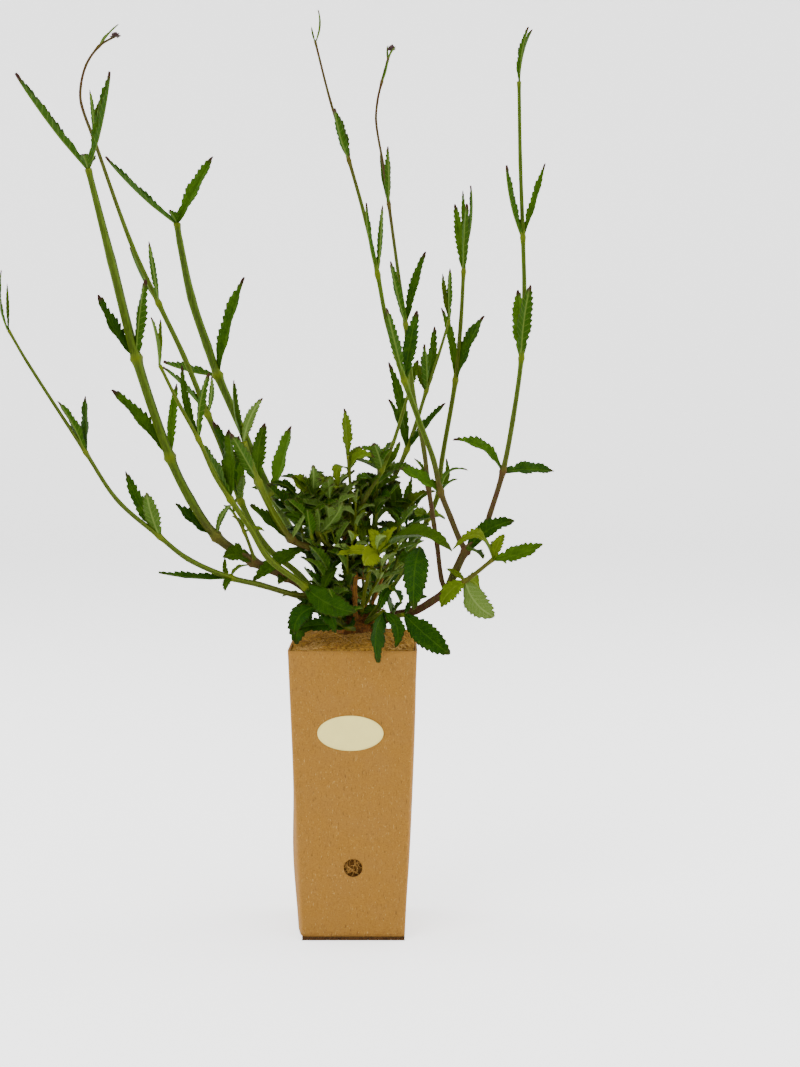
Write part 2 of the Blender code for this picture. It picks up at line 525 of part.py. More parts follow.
def step_value(values, share):
    """The value at a share of the way along a list of evenly spaced values."""
    at = share * (len(values) - 1)
    below = min(int(at), len(values) - 2)
    return values[below] + (values[below + 1] - values[below]) * (at - below)


def swell(along):
    """How much of a wall's bulge is left at a share of its width, by straight steps from its middle."""
    corners = [1 - (step / 2 - 1) ** 2 for step in range(5)]
    return step_value(corners, (along + 1) / 2)


def wall_point(across, along, z, inset):
    """A point of the pot's outer wall moved in by inset. Across and along run from -1 to 1."""
    height = (z - POT_FLOOR) / (POT_HEIGHT - POT_FLOOR)
    half = (POT_BASE + (POT_TOP - POT_BASE) * height) / 2 - inset
    side = LEFT_BULGE if across < 0 else RIGHT_BULGE
    x = across * (half + step_value(side, height) * swell(along))
    y = along * half
    if along > 0:
        y += along * step_value(BACK_BULGE, height) * swell(across)
    return x, y


def grid_box():
    """A unit box with each face cut into a grid."""
    bm = bmesh.new()
    bmesh.ops.create_cube(bm, size=1)
    bmesh.ops.subdivide_edges(bm, edges=bm.edges, cuts=WALL_CUTS, use_grid_fill=True)
    return bm


def make_pot(parts, cutters, material):
    """The folded carton pot: four walls and a floor with an open top and a drain hole."""
    bm = grid_box()
    top = [face for face in bm.faces if face.calc_center_median().z > 0.49]
    bmesh.ops.delete(bm, geom=top, context="FACES")
    for vert in bm.verts:
        z = POT_FLOOR + (POT_HEIGHT - POT_FLOOR) * (vert.co.z + 0.5)
        x, y = wall_point(vert.co.x * 2, vert.co.y * 2, z, 0)
        vert.co = (x, y, z)
    pot = mesh_object("carton_pot", bm, parts)
    board = pot.modifiers.new("Board", "SOLIDIFY")
    board.thickness = BOARD
    board.offset = -1
    board.use_even_offset = True
    apply_modifiers(pot)
    bm = bmesh.new()
    bmesh.ops.create_cone(bm, cap_ends=True, segments=DRAIN_SIDES, radius1=DRAIN_DIAMETER / 2,
                          radius2=DRAIN_DIAMETER / 2, depth=10 * MM)
    bmesh.ops.rotate(bm, matrix=Matrix.Rotation(math.radians(90), 3, "X"), verts=bm.verts)
    half = (POT_BASE + (POT_TOP - POT_BASE) * DRAIN_HEIGHT / POT_HEIGHT) / 2
    bmesh.ops.translate(bm, vec=(0, -half, DRAIN_HEIGHT), verts=bm.verts)
    mesh_object("drain_cutter", bm, cutters)
    boolean(pot, "DIFFERENCE", cutters)
    pot.data.materials.append(material)
    return pot


def make_flap(parts, material):
    """The bottom flap of folded carton that the pot stands on."""
    bm = bmesh.new()
    bmesh.ops.create_cube(bm, size=1)
    width = POT_BASE - 2 * FLAP_INSET
    bmesh.ops.scale(bm, vec=(width, POT_BASE, FLAP_THICKNESS), verts=bm.verts)
    flap = mesh_object("base_flap", bm, parts)
    flap.location.z = FLAP_THICKNESS / 2
    flap.data.materials.append(material)
    return flap


def make_label(parts, material):
    """The oval label, lying on the tapering front wall."""
    bm = bmesh.new()
    bmesh.ops.create_circle(bm, cap_ends=True, segments=LABEL_SIDES, radius=0.5)
    bmesh.ops.scale(bm, vec=(LABEL_WIDTH, LABEL_HEIGHT, 1), verts=bm.verts)
    label = mesh_object("name_label", bm, parts)
    lean = math.atan((POT_TOP - POT_BASE) / 2 / POT_HEIGHT)
    x, z = LABEL_CENTRE
    half = (POT_BASE + (POT_TOP - POT_BASE) * z / POT_HEIGHT) / 2
    label.location = (x, -half - GAP * 1.5, z)
    label.rotation_euler.x = math.radians(90) + lean
    sheet = label.modifiers.new("Paper", "SOLIDIFY")
    sheet.thickness = LABEL_THICKNESS
    sheet.offset = 1
    label.data.materials.append(material)
    return label


def make_soil(parts, cutters, material):
    """The root ball of soil that fills the pot, with a mound and a hole for the crown."""
    draw = random.Random(SEED)
    bm = grid_box()
    top = [edge for edge in bm.edges if min(vert.co.z for vert in edge.verts) > 0.49]
    bmesh.ops.subdivide_edges(bm, edges=top, cuts=1, use_grid_fill=True)
    low = POT_FLOOR + BOARD + GAP
    for vert in bm.verts:
        share = vert.co.z + 0.5
        z = low + (SOIL_LEVEL - low) * share
        x, y = wall_point(vert.co.x * 2, vert.co.y * 2, z, BOARD + SOIL_GAP)
        if share > 0.99:
            away = (Vector((x, y)) - Vector(MOUND_CENTRE)).length / MOUND_SPREAD
            z += MOUND_HEIGHT * math.exp(-away ** 2 / 2) + draw.uniform(-1, 1) * SOIL_ROUGHNESS
        vert.co = (x, y, z)
    bmesh.ops.triangulate(bm, faces=bm.faces, quad_method="SHORT_EDGE")
    soil = mesh_object("soil", bm, parts)
    crown_body("crown_cutter", GAP * 1.6, cutters)
    boolean(soil, "DIFFERENCE", cutters)
    soil.data.materials.append(material)
    return soil


def main():
    clear_scene()
    scene = bpy.context.scene.collection
    parts = new_collection("verbena_in_carton_pot", scene)
    repeats = new_collection("repeats", scene)
    cutters = new_collection("cutters", scene)
    make_pot(parts, cutters, principled("kraft_board", KRAFT, 0.85))
    make_flap(parts, principled("cut_board", CUT_BOARD, 0.95))
    make_label(parts, principled("label_paper", LABEL_PAPER, 0.7))
    make_soil(parts, cutters, principled("soil", SOIL_BROWN, 1))
    make_crown(parts, repeats, cutters, principled("bark", BARK, 0.8))
    for name, stems in SPRAYS.items():
        make_spray(name, stems, parts, repeats, principled(name, LEAF_GREEN, 0.6))


main()
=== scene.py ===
"""A young verbena in a tall carton pot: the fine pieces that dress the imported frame."""

import json
import math
import random
from collections import namedtuple

import bmesh
import bpy
from bpy.props import FloatProperty, FloatVectorProperty, IntProperty, PointerProperty
from mathutils import Matrix, Vector, noise
from mathutils.geometry import interpolate_bezier

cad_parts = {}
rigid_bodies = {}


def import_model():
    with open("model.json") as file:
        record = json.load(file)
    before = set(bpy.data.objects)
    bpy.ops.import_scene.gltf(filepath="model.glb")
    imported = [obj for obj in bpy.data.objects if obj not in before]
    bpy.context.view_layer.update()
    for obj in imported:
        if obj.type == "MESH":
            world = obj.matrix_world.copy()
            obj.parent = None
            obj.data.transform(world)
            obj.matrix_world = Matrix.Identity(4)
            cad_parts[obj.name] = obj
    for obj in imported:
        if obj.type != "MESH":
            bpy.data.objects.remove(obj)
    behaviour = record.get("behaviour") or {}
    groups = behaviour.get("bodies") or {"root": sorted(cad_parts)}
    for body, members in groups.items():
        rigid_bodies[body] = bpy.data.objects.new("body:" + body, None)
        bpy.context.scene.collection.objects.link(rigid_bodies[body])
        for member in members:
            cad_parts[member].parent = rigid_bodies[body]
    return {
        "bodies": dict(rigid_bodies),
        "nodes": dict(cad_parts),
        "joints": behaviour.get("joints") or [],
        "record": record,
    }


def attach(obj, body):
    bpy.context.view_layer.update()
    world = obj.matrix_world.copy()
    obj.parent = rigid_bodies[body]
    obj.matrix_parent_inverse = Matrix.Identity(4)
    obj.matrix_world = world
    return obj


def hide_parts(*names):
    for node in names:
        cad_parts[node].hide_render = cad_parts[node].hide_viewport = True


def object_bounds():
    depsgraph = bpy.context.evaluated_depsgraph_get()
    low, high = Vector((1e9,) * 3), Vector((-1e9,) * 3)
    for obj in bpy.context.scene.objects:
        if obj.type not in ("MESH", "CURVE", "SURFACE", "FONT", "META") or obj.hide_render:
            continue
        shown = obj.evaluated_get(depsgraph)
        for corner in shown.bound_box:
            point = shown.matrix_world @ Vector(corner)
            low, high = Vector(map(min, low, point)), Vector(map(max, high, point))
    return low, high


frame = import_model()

bl_info = {
    "name": "Verbena in a carton pot",
    "version": (1, 0, 0),
    "blender": (4, 5, 0),
    "location": "View3D > Sidebar > Verbena",
    "description": "Builds a potted verbena, its carton pot, soil and studio from named sizes",
    "category": "Add Mesh",
}

MM = 0.001
BODY = "root"
LOWEST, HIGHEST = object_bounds()

# The finishes that every leafy piece holds, in their order.
STEM, BLADE, BARK, BUD = range(4)

# The carton pot, as the solids have it.
POT_TOP = 90 * MM
POT_BASE = 73 * MM
POT_HEIGHT = 208 * MM
FLAP_THICKNESS = 2.5 * MM
POT_FLOOR = FLAP_THICKNESS + 0.3 * MM
FLAP_INSET = 0.1 * MM
LEFT_BULGE = (4.4 * MM, 5.8 * MM, 3 * MM, 1.6 * MM, 0)
RIGHT_BULGE = (0, 1.4 * MM, 1.6 * MM, 1.2 * MM, 0)
BACK_BULGE = (0, 2.2 * MM, 3 * MM, 2.2 * MM, 0)
DRAIN_HEIGHT = 53 * MM
DRAIN_DIAMETER = 13 * MM
LABEL_WIDTH = 46 * MM
LABEL_HEIGHT = 25 * MM
LABEL_CENTRE = (-1.5 * MM, 150 * MM)
LABEL_GAP = 0.12 * MM

# The soil and the crown that the stems grow from.
SOIL_LEVEL = 206.5 * MM
MOUND_HEIGHT = 10.5 * MM
MOUND_CENTRE = (3 * MM, -4 * MM)
MOUND_SPREAD = 21 * MM
BACK_RISE = 3.4 * MM
SOIL_INSET = 2.6 * MM
SOIL_INSET_TOP = 1.8 * MM
THREADS_WITHIN = 40.5 * MM
DRAIN_ROOTS = 26
CROWN_CENTRE = Vector((3, -2, 219)) * MM
CROWN_RADII = Vector((19, 17, 11)) * MM

# Where pale dry fibres gather on the soil: left, right, near and far, in millimetres.
PALE_TUFTS = ((-40, -20, -40, -24), (-10, 14, -24, -17), (22, 40, -40, -22))
TUFT_FIBRES = 45

# How finely the pieces are divided. Columns are along one side of the pot, sides are round a whole ring.
POT_ROWS = 56
POT_COLUMNS = 32
FLAP_COLUMNS = 70
LABEL_RINGS = 8
LABEL_SIDES = 72
SOIL_CELLS = 84
SOIL_ROWS = 49
CROWN_ROWS = 40
CROWN_SIDES = 72
STEM_SIDES = 16
STEM_STEP = 2.2 * MM
BUD_RINGS = 7

# Stems are square in section, swell at each joint that bears leaves, and bend smoothly.
CORNER_RATIO = 1.1
COLLAR_LENGTH = 3.2 * MM
COLLAR_RIDGE = 1.2 * MM
BUDS = 26
BUD_RIBS = 5

# A blade has points at these shares of its half width, and at these phases of each tooth.
BLADE_COLUMNS = (-1, -0.72, -0.42, -0.16, 0, 0.16, 0.42, 0.72, 1)
TOOTH_PHASES = (0, 0.3, 0.62, 0.88)
TOOTH_RISE = 0.86
FIRST_TOOTH = 0.27
LAST_TOOTH = 0.95
MOST_TEETH = 40
NARROWEST_TOOTHED = 3
WIDEST_AT = 0.48
VEIN_SLANT = 0.8
MIDRIB_WIDTH = 0.6 * MM
LARGEST_WAVE = 0.7 * MM

# Grown leaves below this height are painted dark, as shade low in the plant.
SHADE_PAINTED_BELOW = 290 * MM
# A leaf shorter than this, in millimetres, is about as young as its stem. A longer one has a share of that.
YOUNG_LENGTH = 35
LONG_LEAF_YOUTH = 0.15

# The soft lights: name, place, size and the setting that holds their power. They look at the lit place.
LIGHTS = (
    ("key_light", (-1.1, -1.5, 1.7), 1.5, "key"), ("fill_light", (1.6, -1.1, 0.9), 1.6, "fill"),
    ("top_light", (0.1, 0.2, 2.2), 1.8, "top"), ("left_light", (-1.7, 0.35, 0.6), 1.2, "rim"),
    ("right_light", (1.7, 0.35, 0.6), 1.2, "rim"))
LIT_PLACE = Vector((0, 0, 0.3))

# A joint is (x, y, z, width), in millimetres.
# A leaf is (joint, heading, rise, length, width, fold, arch, turn). Its heading is 0 to the right and
# 90 to the back, its rise is from the level, its fold lifts each half, and its turn rolls the blade
# about its midrib, all in degrees. Its length, width and arch are in millimetres.
Stem = namedtuple("Stem", "joints leaves")

LEFT_TALL = Stem(
    [(-8, 1, 216, 6.4), (-33, -10, 246, 6.2), (-47, -18, 257, 6.2), (-70, -29, 269, 6.4),
     (-94, -37, 287, 6.4), (-111, -42, 313, 6.4), (-124, -46, 342, 6.6), (-145, -52, 409, 6.8),
     (-160, -57, 474, 6.2), (-174, -60, 534, 4)],
    [(9, 190, 53, 76, 12, 50, 0, -4), (9, 33, 76, 67, 12, 50, 0, -5), (9, 265, 35, 14, 9, 30, 2, 0),
     (9, 80, 40, 16, 9, 30, 2, 0), (7, 200, 59, 49, 14, 25, -2, -50), (7, 300, 70, 55, 11, 25, 1, -60),
     (6, 190, 50, 60, 15, 30, 2, -45), (6, 75, 75, 52, 9, 35, 3, 40), (4, 190, 40, 36, 14, 30, -1, -45),
     (4, 310, 50, 30, 6, 30, 4, -30), (3, 230, 10, 28, 17, 20, 4, -55), (2, 245, -20, 12, 8, 20, 2, -30)])

LEFT_TALL_SHOOT = Stem(
    [(-68, -32, 270, 2.8), (-75, -34, 290, 2.4), (-82, -35, 303, 1.6)],
    [(1, 335, 5, 16, 6, 20, 2, 30), (1, 160, 50, 14, 5, 25, 2, -20), (2, 200, 40, 9, 4, 30, 1, 0),
     (2, 60, 70, 11, 4, 30, 1, 0)])

LEFT_CURLED = Stem(
    [(-7, 9, 216, 5), (-40, 22, 253, 5), (-65, 28, 274, 5), (-84, 36, 306, 4.8), (-98, 42, 345, 4.6),
     (-109, 46, 370, 4.6), (-127, 52, 413, 4.2), (-146, 58, 452, 4), (-167, 62, 498, 3.6),
     (-193, 64, 572, 2.8), (-202, 64, 598, 2.2), (-202, 63, 611, 2), (-197, 60, 626, 1.9),
     (-187, 56, 638, 1.9), (-178, 54, 643, 1.6), (-174, 52, 644, 1.5)],
    [(13, 15, 50, 22, 1.8, 30, 1, 0), (13, 325, 40, 14, 1.6, 30, 1, 0), (9, 255, 80, 36, 5, 40, 2, 20),
     (9, 60, 75, 34, 5, 40, 2, 0), (7, 245, 75, 46, 6, 30, 0, 40), (7, 160, 61, 48, 8, 40, -1, 0),
     (5, 170, 46, 49, 9, 45, 3, 0), (5, 315, 80, 29, 6, 40, -2, -40), (3, 165, 70, 63, 13, 30, 3, -40),
     (3, 105, 80, 49, 11, 30, 2, -40), (3, 285, 55, 25, 11, 20, 3, 40)])

LEFT_THICK = Stem(
    [(0, 12.5, 216, 5.6), (-24, 26, 259, 6), (-44, 40, 280, 6), (-62, 52, 309, 6.2), (-83, 62, 353, 6.6),
     (-104, 70, 399, 7), (-112, 73, 421, 7.2), (-124, 77, 457, 7), (-133, 81, 500, 5.4), (-135, 82, 513, 5)],
    [(9, 175, 43, 74, 11, 50, -1, -5), (9, 341, 58, 57, 14, 25, 1, 75), (9, 250, 35, 15, 9, 30, 2, 0),
     (9, 70, 45, 17, 9, 30, 2, 0), (5, 342, 73, 76, 16, 30, 3, 65), (5, 160, 13, 47, 13, 40, 0, 25),
     (3, 334, 73, 55, 18, 20, 1, 65), (3, 155, 20, 19, 10, 30, 2, -30)])

LEFT_SLENDER = Stem(
    [(-4.5, -12, 216, 4.2), (-33, -37, 252, 4.2), (-57, -49, 273, 4.4), (-69, -53, 294, 4.2),
     (-82, -57, 314, 4), (-92, -61, 331, 3.4), (-102, -66, 355, 3.2), (-114, -70, 378, 2.6),
     (-126, -74, 404, 2.2)],
    [(8, 215, 80, 32, 5, 40, 2, -20), (8, 90, 80, 31, 5, 40, -2, -20), (6, 305, 70, 47, 8, 30, 4, -60),
     (6, 150, 75, 51, 7, 30, -3, -45), (4, 160, 60, 44, 13, 35, 3, 30), (4, 100, 80, 48, 16, 20, 2, -55),
     (1, 335, -22, 42, 20, 15, -3, 60)])

LEFT_LOW = Stem(
    [(-10, -6, 217, 3.8), (-29, -23, 243, 3.8), (-40, -28, 245, 3.8), (-64, -42, 254, 3.8),
     (-83, -52, 260, 3.6), (-110, -64, 274, 3.4), (-128, -72, 290, 3.2), (-154, -82, 315, 2.8),
     (-173, -90, 347, 2.6), (-207, -102, 405, 2), (-218, -106, 426, 1.8)],
    [(10, 180, 85, 38, 3.5, 35, -3, 0), (10, 105, 75, 31, 3, 35, -2, 0), (8, 207, 62, 38, 8, 30, 2, 40),
     (8, 100, 75, 38, 9, 20, 0, -50), (6, 160, 60, 50, 11, 25, -2, -40), (6, 230, 70, 32, 12, 15, -1, 40),
     (4, 195, 6, 49, 10, 25, -1, -25), (4, 255, -35, 13, 7, 20, 2, 0), (4, 35, 30, 16, 6, 20, 3, 0),
     (4, 115, 50, 17, 5, 20, -6, 0), (1, 202, -70, 35, 18, 15, 3, -60)])

CENTRE_TRUNK = Stem([(0, 0, 216, 5.6), (-3, 0, 240, 6), (-6, 1, 270, 6), (-5, 2, 300, 5)], [])

CENTRE_FRONT = Stem(
    [(-6, 0, 275, 4.6), (-22, -10, 276, 4.6), (-32, -18, 278, 4.8), (-43, -26, 284, 5), (-52, -34, 298, 4.6),
     (-64, -46, 325, 4.2), (-73, -54, 353, 3.4)],
    [(6, 150, 80, 42, 8, 40, -2, 0), (6, 325, 60, 34, 8, 25, 3, -45), (6, 60, 55, 25, 9, 30, 2, 30),
     (5, 225, 55, 41, 12, 25, 0, 60), (5, 50, 80, 41, 12, 15, 3, 60), (3, 315, 50, 27, 7, 45, 0, -30),
     (3, 205, 40, 39, 15, 25, 0, -45), (2, 206, -29, 48, 15, 30, 3, -40)])

CENTRE_RIGHT = Stem(
    [(-5, 2, 294, 3.8), (9, 8, 298, 3.8), (24, 14, 317, 3.6), (38, 20, 345, 3.6), (47, 26, 371, 2.8),
     (52, 28, 387, 2.8), (61, 33, 413, 2.2), (69, 36, 439, 2)],
    [(7, 145, 80, 34, 6, 35, -1, -30), (7, 275, 85, 37, 6, 35, 3, -30), (5, 260, 75, 35, 10, 20, 1, 60),
     (5, 60, 75, 49, 9, 12, -2, 60), (5, 135, 65, 22, 9, 20, 1, -40), (3, 147, 76, 65, 9, 20, 3, -50),
     (3, 220, 65, 40, 9, 30, 2, -80), (3, 345, 50, 44, 10, 30, 1, 50)])

CENTRE_INNER = Stem(
    [(-5, 1, 286, 3.4), (10, -6, 314, 3.4), (20, -7, 331, 3.2), (28, -2, 350, 3), (35, 6, 372, 2.6),
     (39, 10, 385, 2.2)],
    [(5, 100, 80, 30, 8, 25, 1, -30), (5, 38, 70, 26, 8, 25, 1, 40), (2, 240, 60, 23, 12, 15, 1, 60),
     (2, 55, 15, 16, 8, 20, 3, 30), (2, 25, 55, 25, 8, 35, -2, 30)])

CENTRE_TIP = Stem(
    [(-5, 0, 284, 2.8), (-2, -9, 314, 2.6), (-3, -10, 332, 2.4), (-4, -10, 342, 1.8)],
    [(3, 225, 85, 33, 11, 12, 1, -90), (2, 335, 25, 22, 12, 25, 6, 50), (2, 240, -45, 19, 9, 25, 12, -20),
     (2, 55, 50, 21, 9, 20, 2, 50)])

CENTRE_TUFT_LEFT = Stem(
    [(-6, 1, 268, 4), (-19, -16, 280, 3.8), (-24, -20, 288, 3.6), (-27, -22, 301, 3.2), (-29, -22, 313, 2.6)],
    [(4, 205, 45, 21, 18, 20, 2, -55), (4, 315, 85, 23, 10, 15, -2, -60), (4, 40, 50, 19, 14, 20, 4, 30),
     (4, 125, 40, 16, 14, 20, 3, -40), (3, 165, 20, 24, 12, 25, 2, -40), (3, 320, 50, 29, 15, 20, 4, 45),
     (2, 320, 45, 32, 12, 30, -2, -45), (2, 235, 40, 26, 13, 25, 3, -50), (2, 270, 40, 29, 10, 20, 2, 50)])

CENTRE_TUFT_RIGHT = Stem(
    [(-5, 2, 272, 3.6), (3, 14, 290, 3.4), (7, 15, 300, 3)],
    [(2, 115, 70, 19, 13, 20, 2, -50), (2, 320, 55, 21, 15, 20, 3, 55), (2, 135, 40, 19, 13, 20, 3, -40),
     (2, 60, 20, 16, 13, 20, 4, 50), (1, 220, -10, 22, 8, 25, 3, -40), (1, 300, -5, 19, 13, 20, 4, 60)])

RIGHT_MAIN = Stem(
    [(13, -4, 216, 7), (27, -13, 228, 6.6), (44, -20, 233, 6.2), (54, -23, 239, 6), (65, -26, 248, 6.2),
     (71, -27, 260, 6.6), (79, -28, 276, 6.4), (90, -26, 286, 4.6), (96, -24, 302, 4.4),
     (105, -20, 331, 4.4), (112, -16, 367, 4), (118, -12, 410, 3.8), (120, -9, 451, 3.6),
     (119, -6, 494, 3.4), (117, -3, 548, 3), (116, 0, 602, 2.8)],
    [(15, 305, 75, 37, 6, 45, 4, 20), (15, 43, 71, 40, 6, 45, 4, -10), (13, 205, 75, 51, 9, 50, -1, -25),
     (13, 13, 73, 54, 8, 30, 0, 35), (11, 98, 75, 50, 13, 15, 2, -30), (11, 285, 70, 53, 12, 15, 3, -40),
     (9, 196, 32, 43, 14, 25, 7, -45), (9, 15, 0, 38, 14, 20, 2, 40), (6, 336, 32, 42, 16, 18, 5, 60),
     (6, 305, -10, 20, 12, 20, 4, -20)])

RIGHT_TALL = Stem(
    [(79, -28, 276, 4.6), (75, -29, 283, 4.6), (68, -32, 300, 4.4), (61, -35, 318, 4.6), (56, -38, 340, 4.2),
     (46, -42, 367, 4.2), (36, -45, 394, 4.2), (24, -49, 434, 3.4), (18, -52, 465, 3.4),
     (10, -54, 501, 2.9), (-1, -56, 540, 2.6), (-13, -58, 578, 1.8), (-23, -60, 617, 1.6)],
    [(12, 0, 85, 20, 1.8, 30, -2, 0), (12, 115, 60, 12, 1.6, 30, -1, 0), (10, 220, 70, 35, 8, 35, -1, 30),
     (10, 130, 70, 34, 7, 35, 1, 0), (8, 210, 80, 48, 6, 40, -1, -20), (8, 325, 85, 46, 5, 30, 0, -40),
     (6, 216, 73, 51, 9, 25, 0, 50), (6, 58, 71, 51, 11, 15, 1, 35), (3, 204, 28, 35, 15, 22, 2, -50),
     (3, 60, 70, 24, 5, 20, -6, 0), (3, 325, 35, 27, 6, 20, 8, 0), (3, 20, 35, 15, 5, 20, 2, 0)])

RIGHT_BUDDED = Stem(
    [(65, -26, 248, 4.4), (62, -25, 256, 3.8), (59, -20, 280, 3.8), (57, -18, 293, 3.8), (53, -14, 320, 3.8),
     (50, -10, 345, 3.8), (42, -2, 388, 3.6), (37, 6, 434, 3.4), (32, 12, 469, 2.8), (25, 18, 520, 2.6),
     (21, 20, 548, 2), (16, 22, 578, 1.8), (17, 22, 593, 1.8), (20, 22, 606, 1.9), (24, 21, 620, 1.6),
     (27, 20, 628, 1.5)],
    [(13, 310, 65, 17, 2.4, 35, -1, 0), (13, 65, 65, 15, 2.4, 35, -1, 0), (14, 325, 55, 12, 1.8, 30, 1, 0),
     (14, 90, 70, 13, 1.8, 30, 1, 0), (9, 265, 80, 40, 7, 35, -2, 30), (9, 125, 75, 40, 5, 35, -2, 0),
     (7, 212, 74, 46, 8, 35, 0, 35), (7, 33, 72, 55, 9, 25, 2, 30), (4, 135, 55, 24, 5, 20, 3, 0)])

RIGHT_LOW_SHOOT = Stem(
    [(66, -27, 249, 3.4), (78, -38, 256, 3.4), (97, -46, 272, 2.8)],
    [(2, 345, 18, 36, 14, 20, -1, 55), (2, 45, 55, 20, 9, 25, 2, 40), (2, 85, 35, 17, 12, 15, 2, 60),
     (2, 205, 15, 32, 12, 25, 14, -45), (2, 45, -15, 14, 8, 15, 2, 40), (1, 320, -42, 34, 19, 15, -4, -115),
     (1, 35, -25, 15, 15, 15, 3, 60), (1, 140, 25, 18, 6, 20, 1, -30), (1, 205, -42, 25, 14, 15, 3, -60)])

RIGHT_BACK = Stem(
    [(14, 5, 216, 4.4), (23, 22, 248, 4.2), (39, 32, 266, 4.2), (54, 40, 294, 4.2), (61, 42, 311, 4.2),
     (64, 45, 336, 4), (74, 50, 395, 4), (78, 54, 438, 3.4), (80, 56, 475, 3.2), (81, 57, 491, 2.4)],
    [(8, 122, 77, 52, 9, 15, 1, -50), (8, 278, 75, 50, 8, 20, 1, -50), (9, 100, 80, 45, 5, 30, -1, 0),
     (9, 335, 85, 47, 7, 30, -2, 30), (6, 155, 78, 55, 8, 25, 3, -50), (6, 340, 65, 52, 16, 15, 3, 55),
     (3, 145, -5, 18, 14, 20, 4, -40), (3, 40, -5, 16, 12, 20, 3, 30)])

BACK_SHOOT = Stem(
    [(8, 11, 217, 3.8), (18, 16, 253, 3.6), (26, 18, 276, 3.4), (31, 18, 293, 3.2)],
    [(3, 145, 80, 35, 12, 20, 2, -55), (3, 45, 65, 35, 8, 25, -2, 20), (3, 335, 45, 32, 16, 25, 3, 45),
     (3, 120, 45, 27, 13, 20, 3, -50), (2, 35, 20, 21, 16, 20, 4, 40), (1, 110, 10, 21, 11, 20, 3, 30)])

BACK_LEAVES = Stem(
    [(10, 12, 226, 3.4), (12, 36, 231, 3.2), (17, 50, 238, 2.8)],
    [(2, 45, 25, 49, 18, 20, 6, 40), (2, 140, 35, 48, 18, 20, 6, -40), (2, 75, -30, 41, 20, 20, 8, 60),
     (2, 125, -35, 43, 18, 20, 8, -60), (1, 160, 15, 34, 14, 20, 4, -40)])

# Short growth that is one piece with the crown: old stubs, young shoots and the lowest leaves.
CROWN_STUB = Stem([(2, -14, 221, 4.4), (1, -16, 240, 4.2), (2, -17, 260, 3.8)], [])
CROWN_TWIG = Stem([(9, 3, 223, 2.8), (17, 3, 245, 2.4), (25, 3, 265, 2.2)], [])

CROWN_SHOOT = Stem(
    [(4, -8, 222, 3.4), (11, -22, 259, 2.8), (18, -28, 274, 2.6)],
    [(2, 340, 55, 23, 12, 20, 2, 50), (2, 310, 30, 15, 9, 15, 2, 60), (2, 145, 60, 15, 11, 20, 3, -50),
     (2, 235, -20, 18, 17, 15, 3, -60), (2, 190, 0, 29, 10, 25, 3, -50), (2, 330, 5, 58, 22, 30, 14, 20)])

CROWN_HANGING = Stem(
    [(7, -10, 221, 3.4), (27, -30, 250, 3.2), (43, -40, 274, 3), (47, -42, 280, 2.6)],
    [(3, 260, -55, 48, 20, 15, 10, -25), (2, 215, -15, 14, 10, 20, 2, -50), (1, 240, -40, 21, 9, 25, 3, -40),
     (1, 290, -20, 21, 11, 25, 4, -40)])

CROWN_LEAVES_LEFT = Stem(
    [(4, -10, 219, 3.4), (-4, -27, 222, 3.2), (-26, -37, 238, 2.6)],
    [(2, 200, -50, 24, 15, 20, 5, -60), (2, 316, -38, 26, 14, 25, 5, 55), (1, 195, 0, 36, 13, 20, 3, -60),
     (1, 285, 10, 18, 12, 20, 3, 40)])

CROWN_LEAVES_FRONT = Stem(
    [(6, -10, 221, 3.4), (17, -32, 231, 3.2), (22, -40, 235, 2.8)],
    [(2, 250, -70, 36, 18, 15, 8, -75), (2, 335, -70, 26, 12, 20, 6, 40)])

CROWN_LEAVES_RIGHT = Stem(
    [(10, -11, 219, 3.4), (27, -26, 229, 3.2), (36, -34, 232, 2.8)],
    [(2, 334, -36, 43, 19, 16, -1, 70), (2, 345, 40, 21, 10, 20, 3, 40), (1, 320, 50, 15, 9, 20, 2, 40)])

# Each leafy node is one stem from the crown with its side shoots. The first stem is the one that is rooted.
SPRAYS = {
    "stem_left_tall": [LEFT_TALL, LEFT_TALL_SHOOT],
    "stem_left_curled": [LEFT_CURLED],
    "stem_left_thick": [LEFT_THICK],
    "stem_left_slender": [LEFT_SLENDER],
    "stem_left_low": [LEFT_LOW],
    "stem_centre": [CENTRE_TRUNK, CENTRE_FRONT, CENTRE_RIGHT, CENTRE_INNER, CENTRE_TIP, CENTRE_TUFT_LEFT,
                    CENTRE_TUFT_RIGHT],
    "stem_right_branched": [RIGHT_MAIN, RIGHT_TALL, RIGHT_BUDDED, RIGHT_LOW_SHOOT],
    "stem_right_back": [RIGHT_BACK],
    "stem_back_shoot": [BACK_SHOOT, BACK_LEAVES],
}
CROWN_GROWTH = [CROWN_STUB, CROWN_TWIG, CROWN_SHOOT, CROWN_HANGING, CROWN_LEAVES_LEFT, CROWN_LEAVES_FRONT,
                CROWN_LEAVES_RIGHT]
# The stems that end in a head of buds, and how far the buds stand out.
BUDDED = {"stem_left_curled": (LEFT_CURLED, 3.2 * MM), "stem_right_branched": (RIGHT_BUDDED, 3 * MM)}

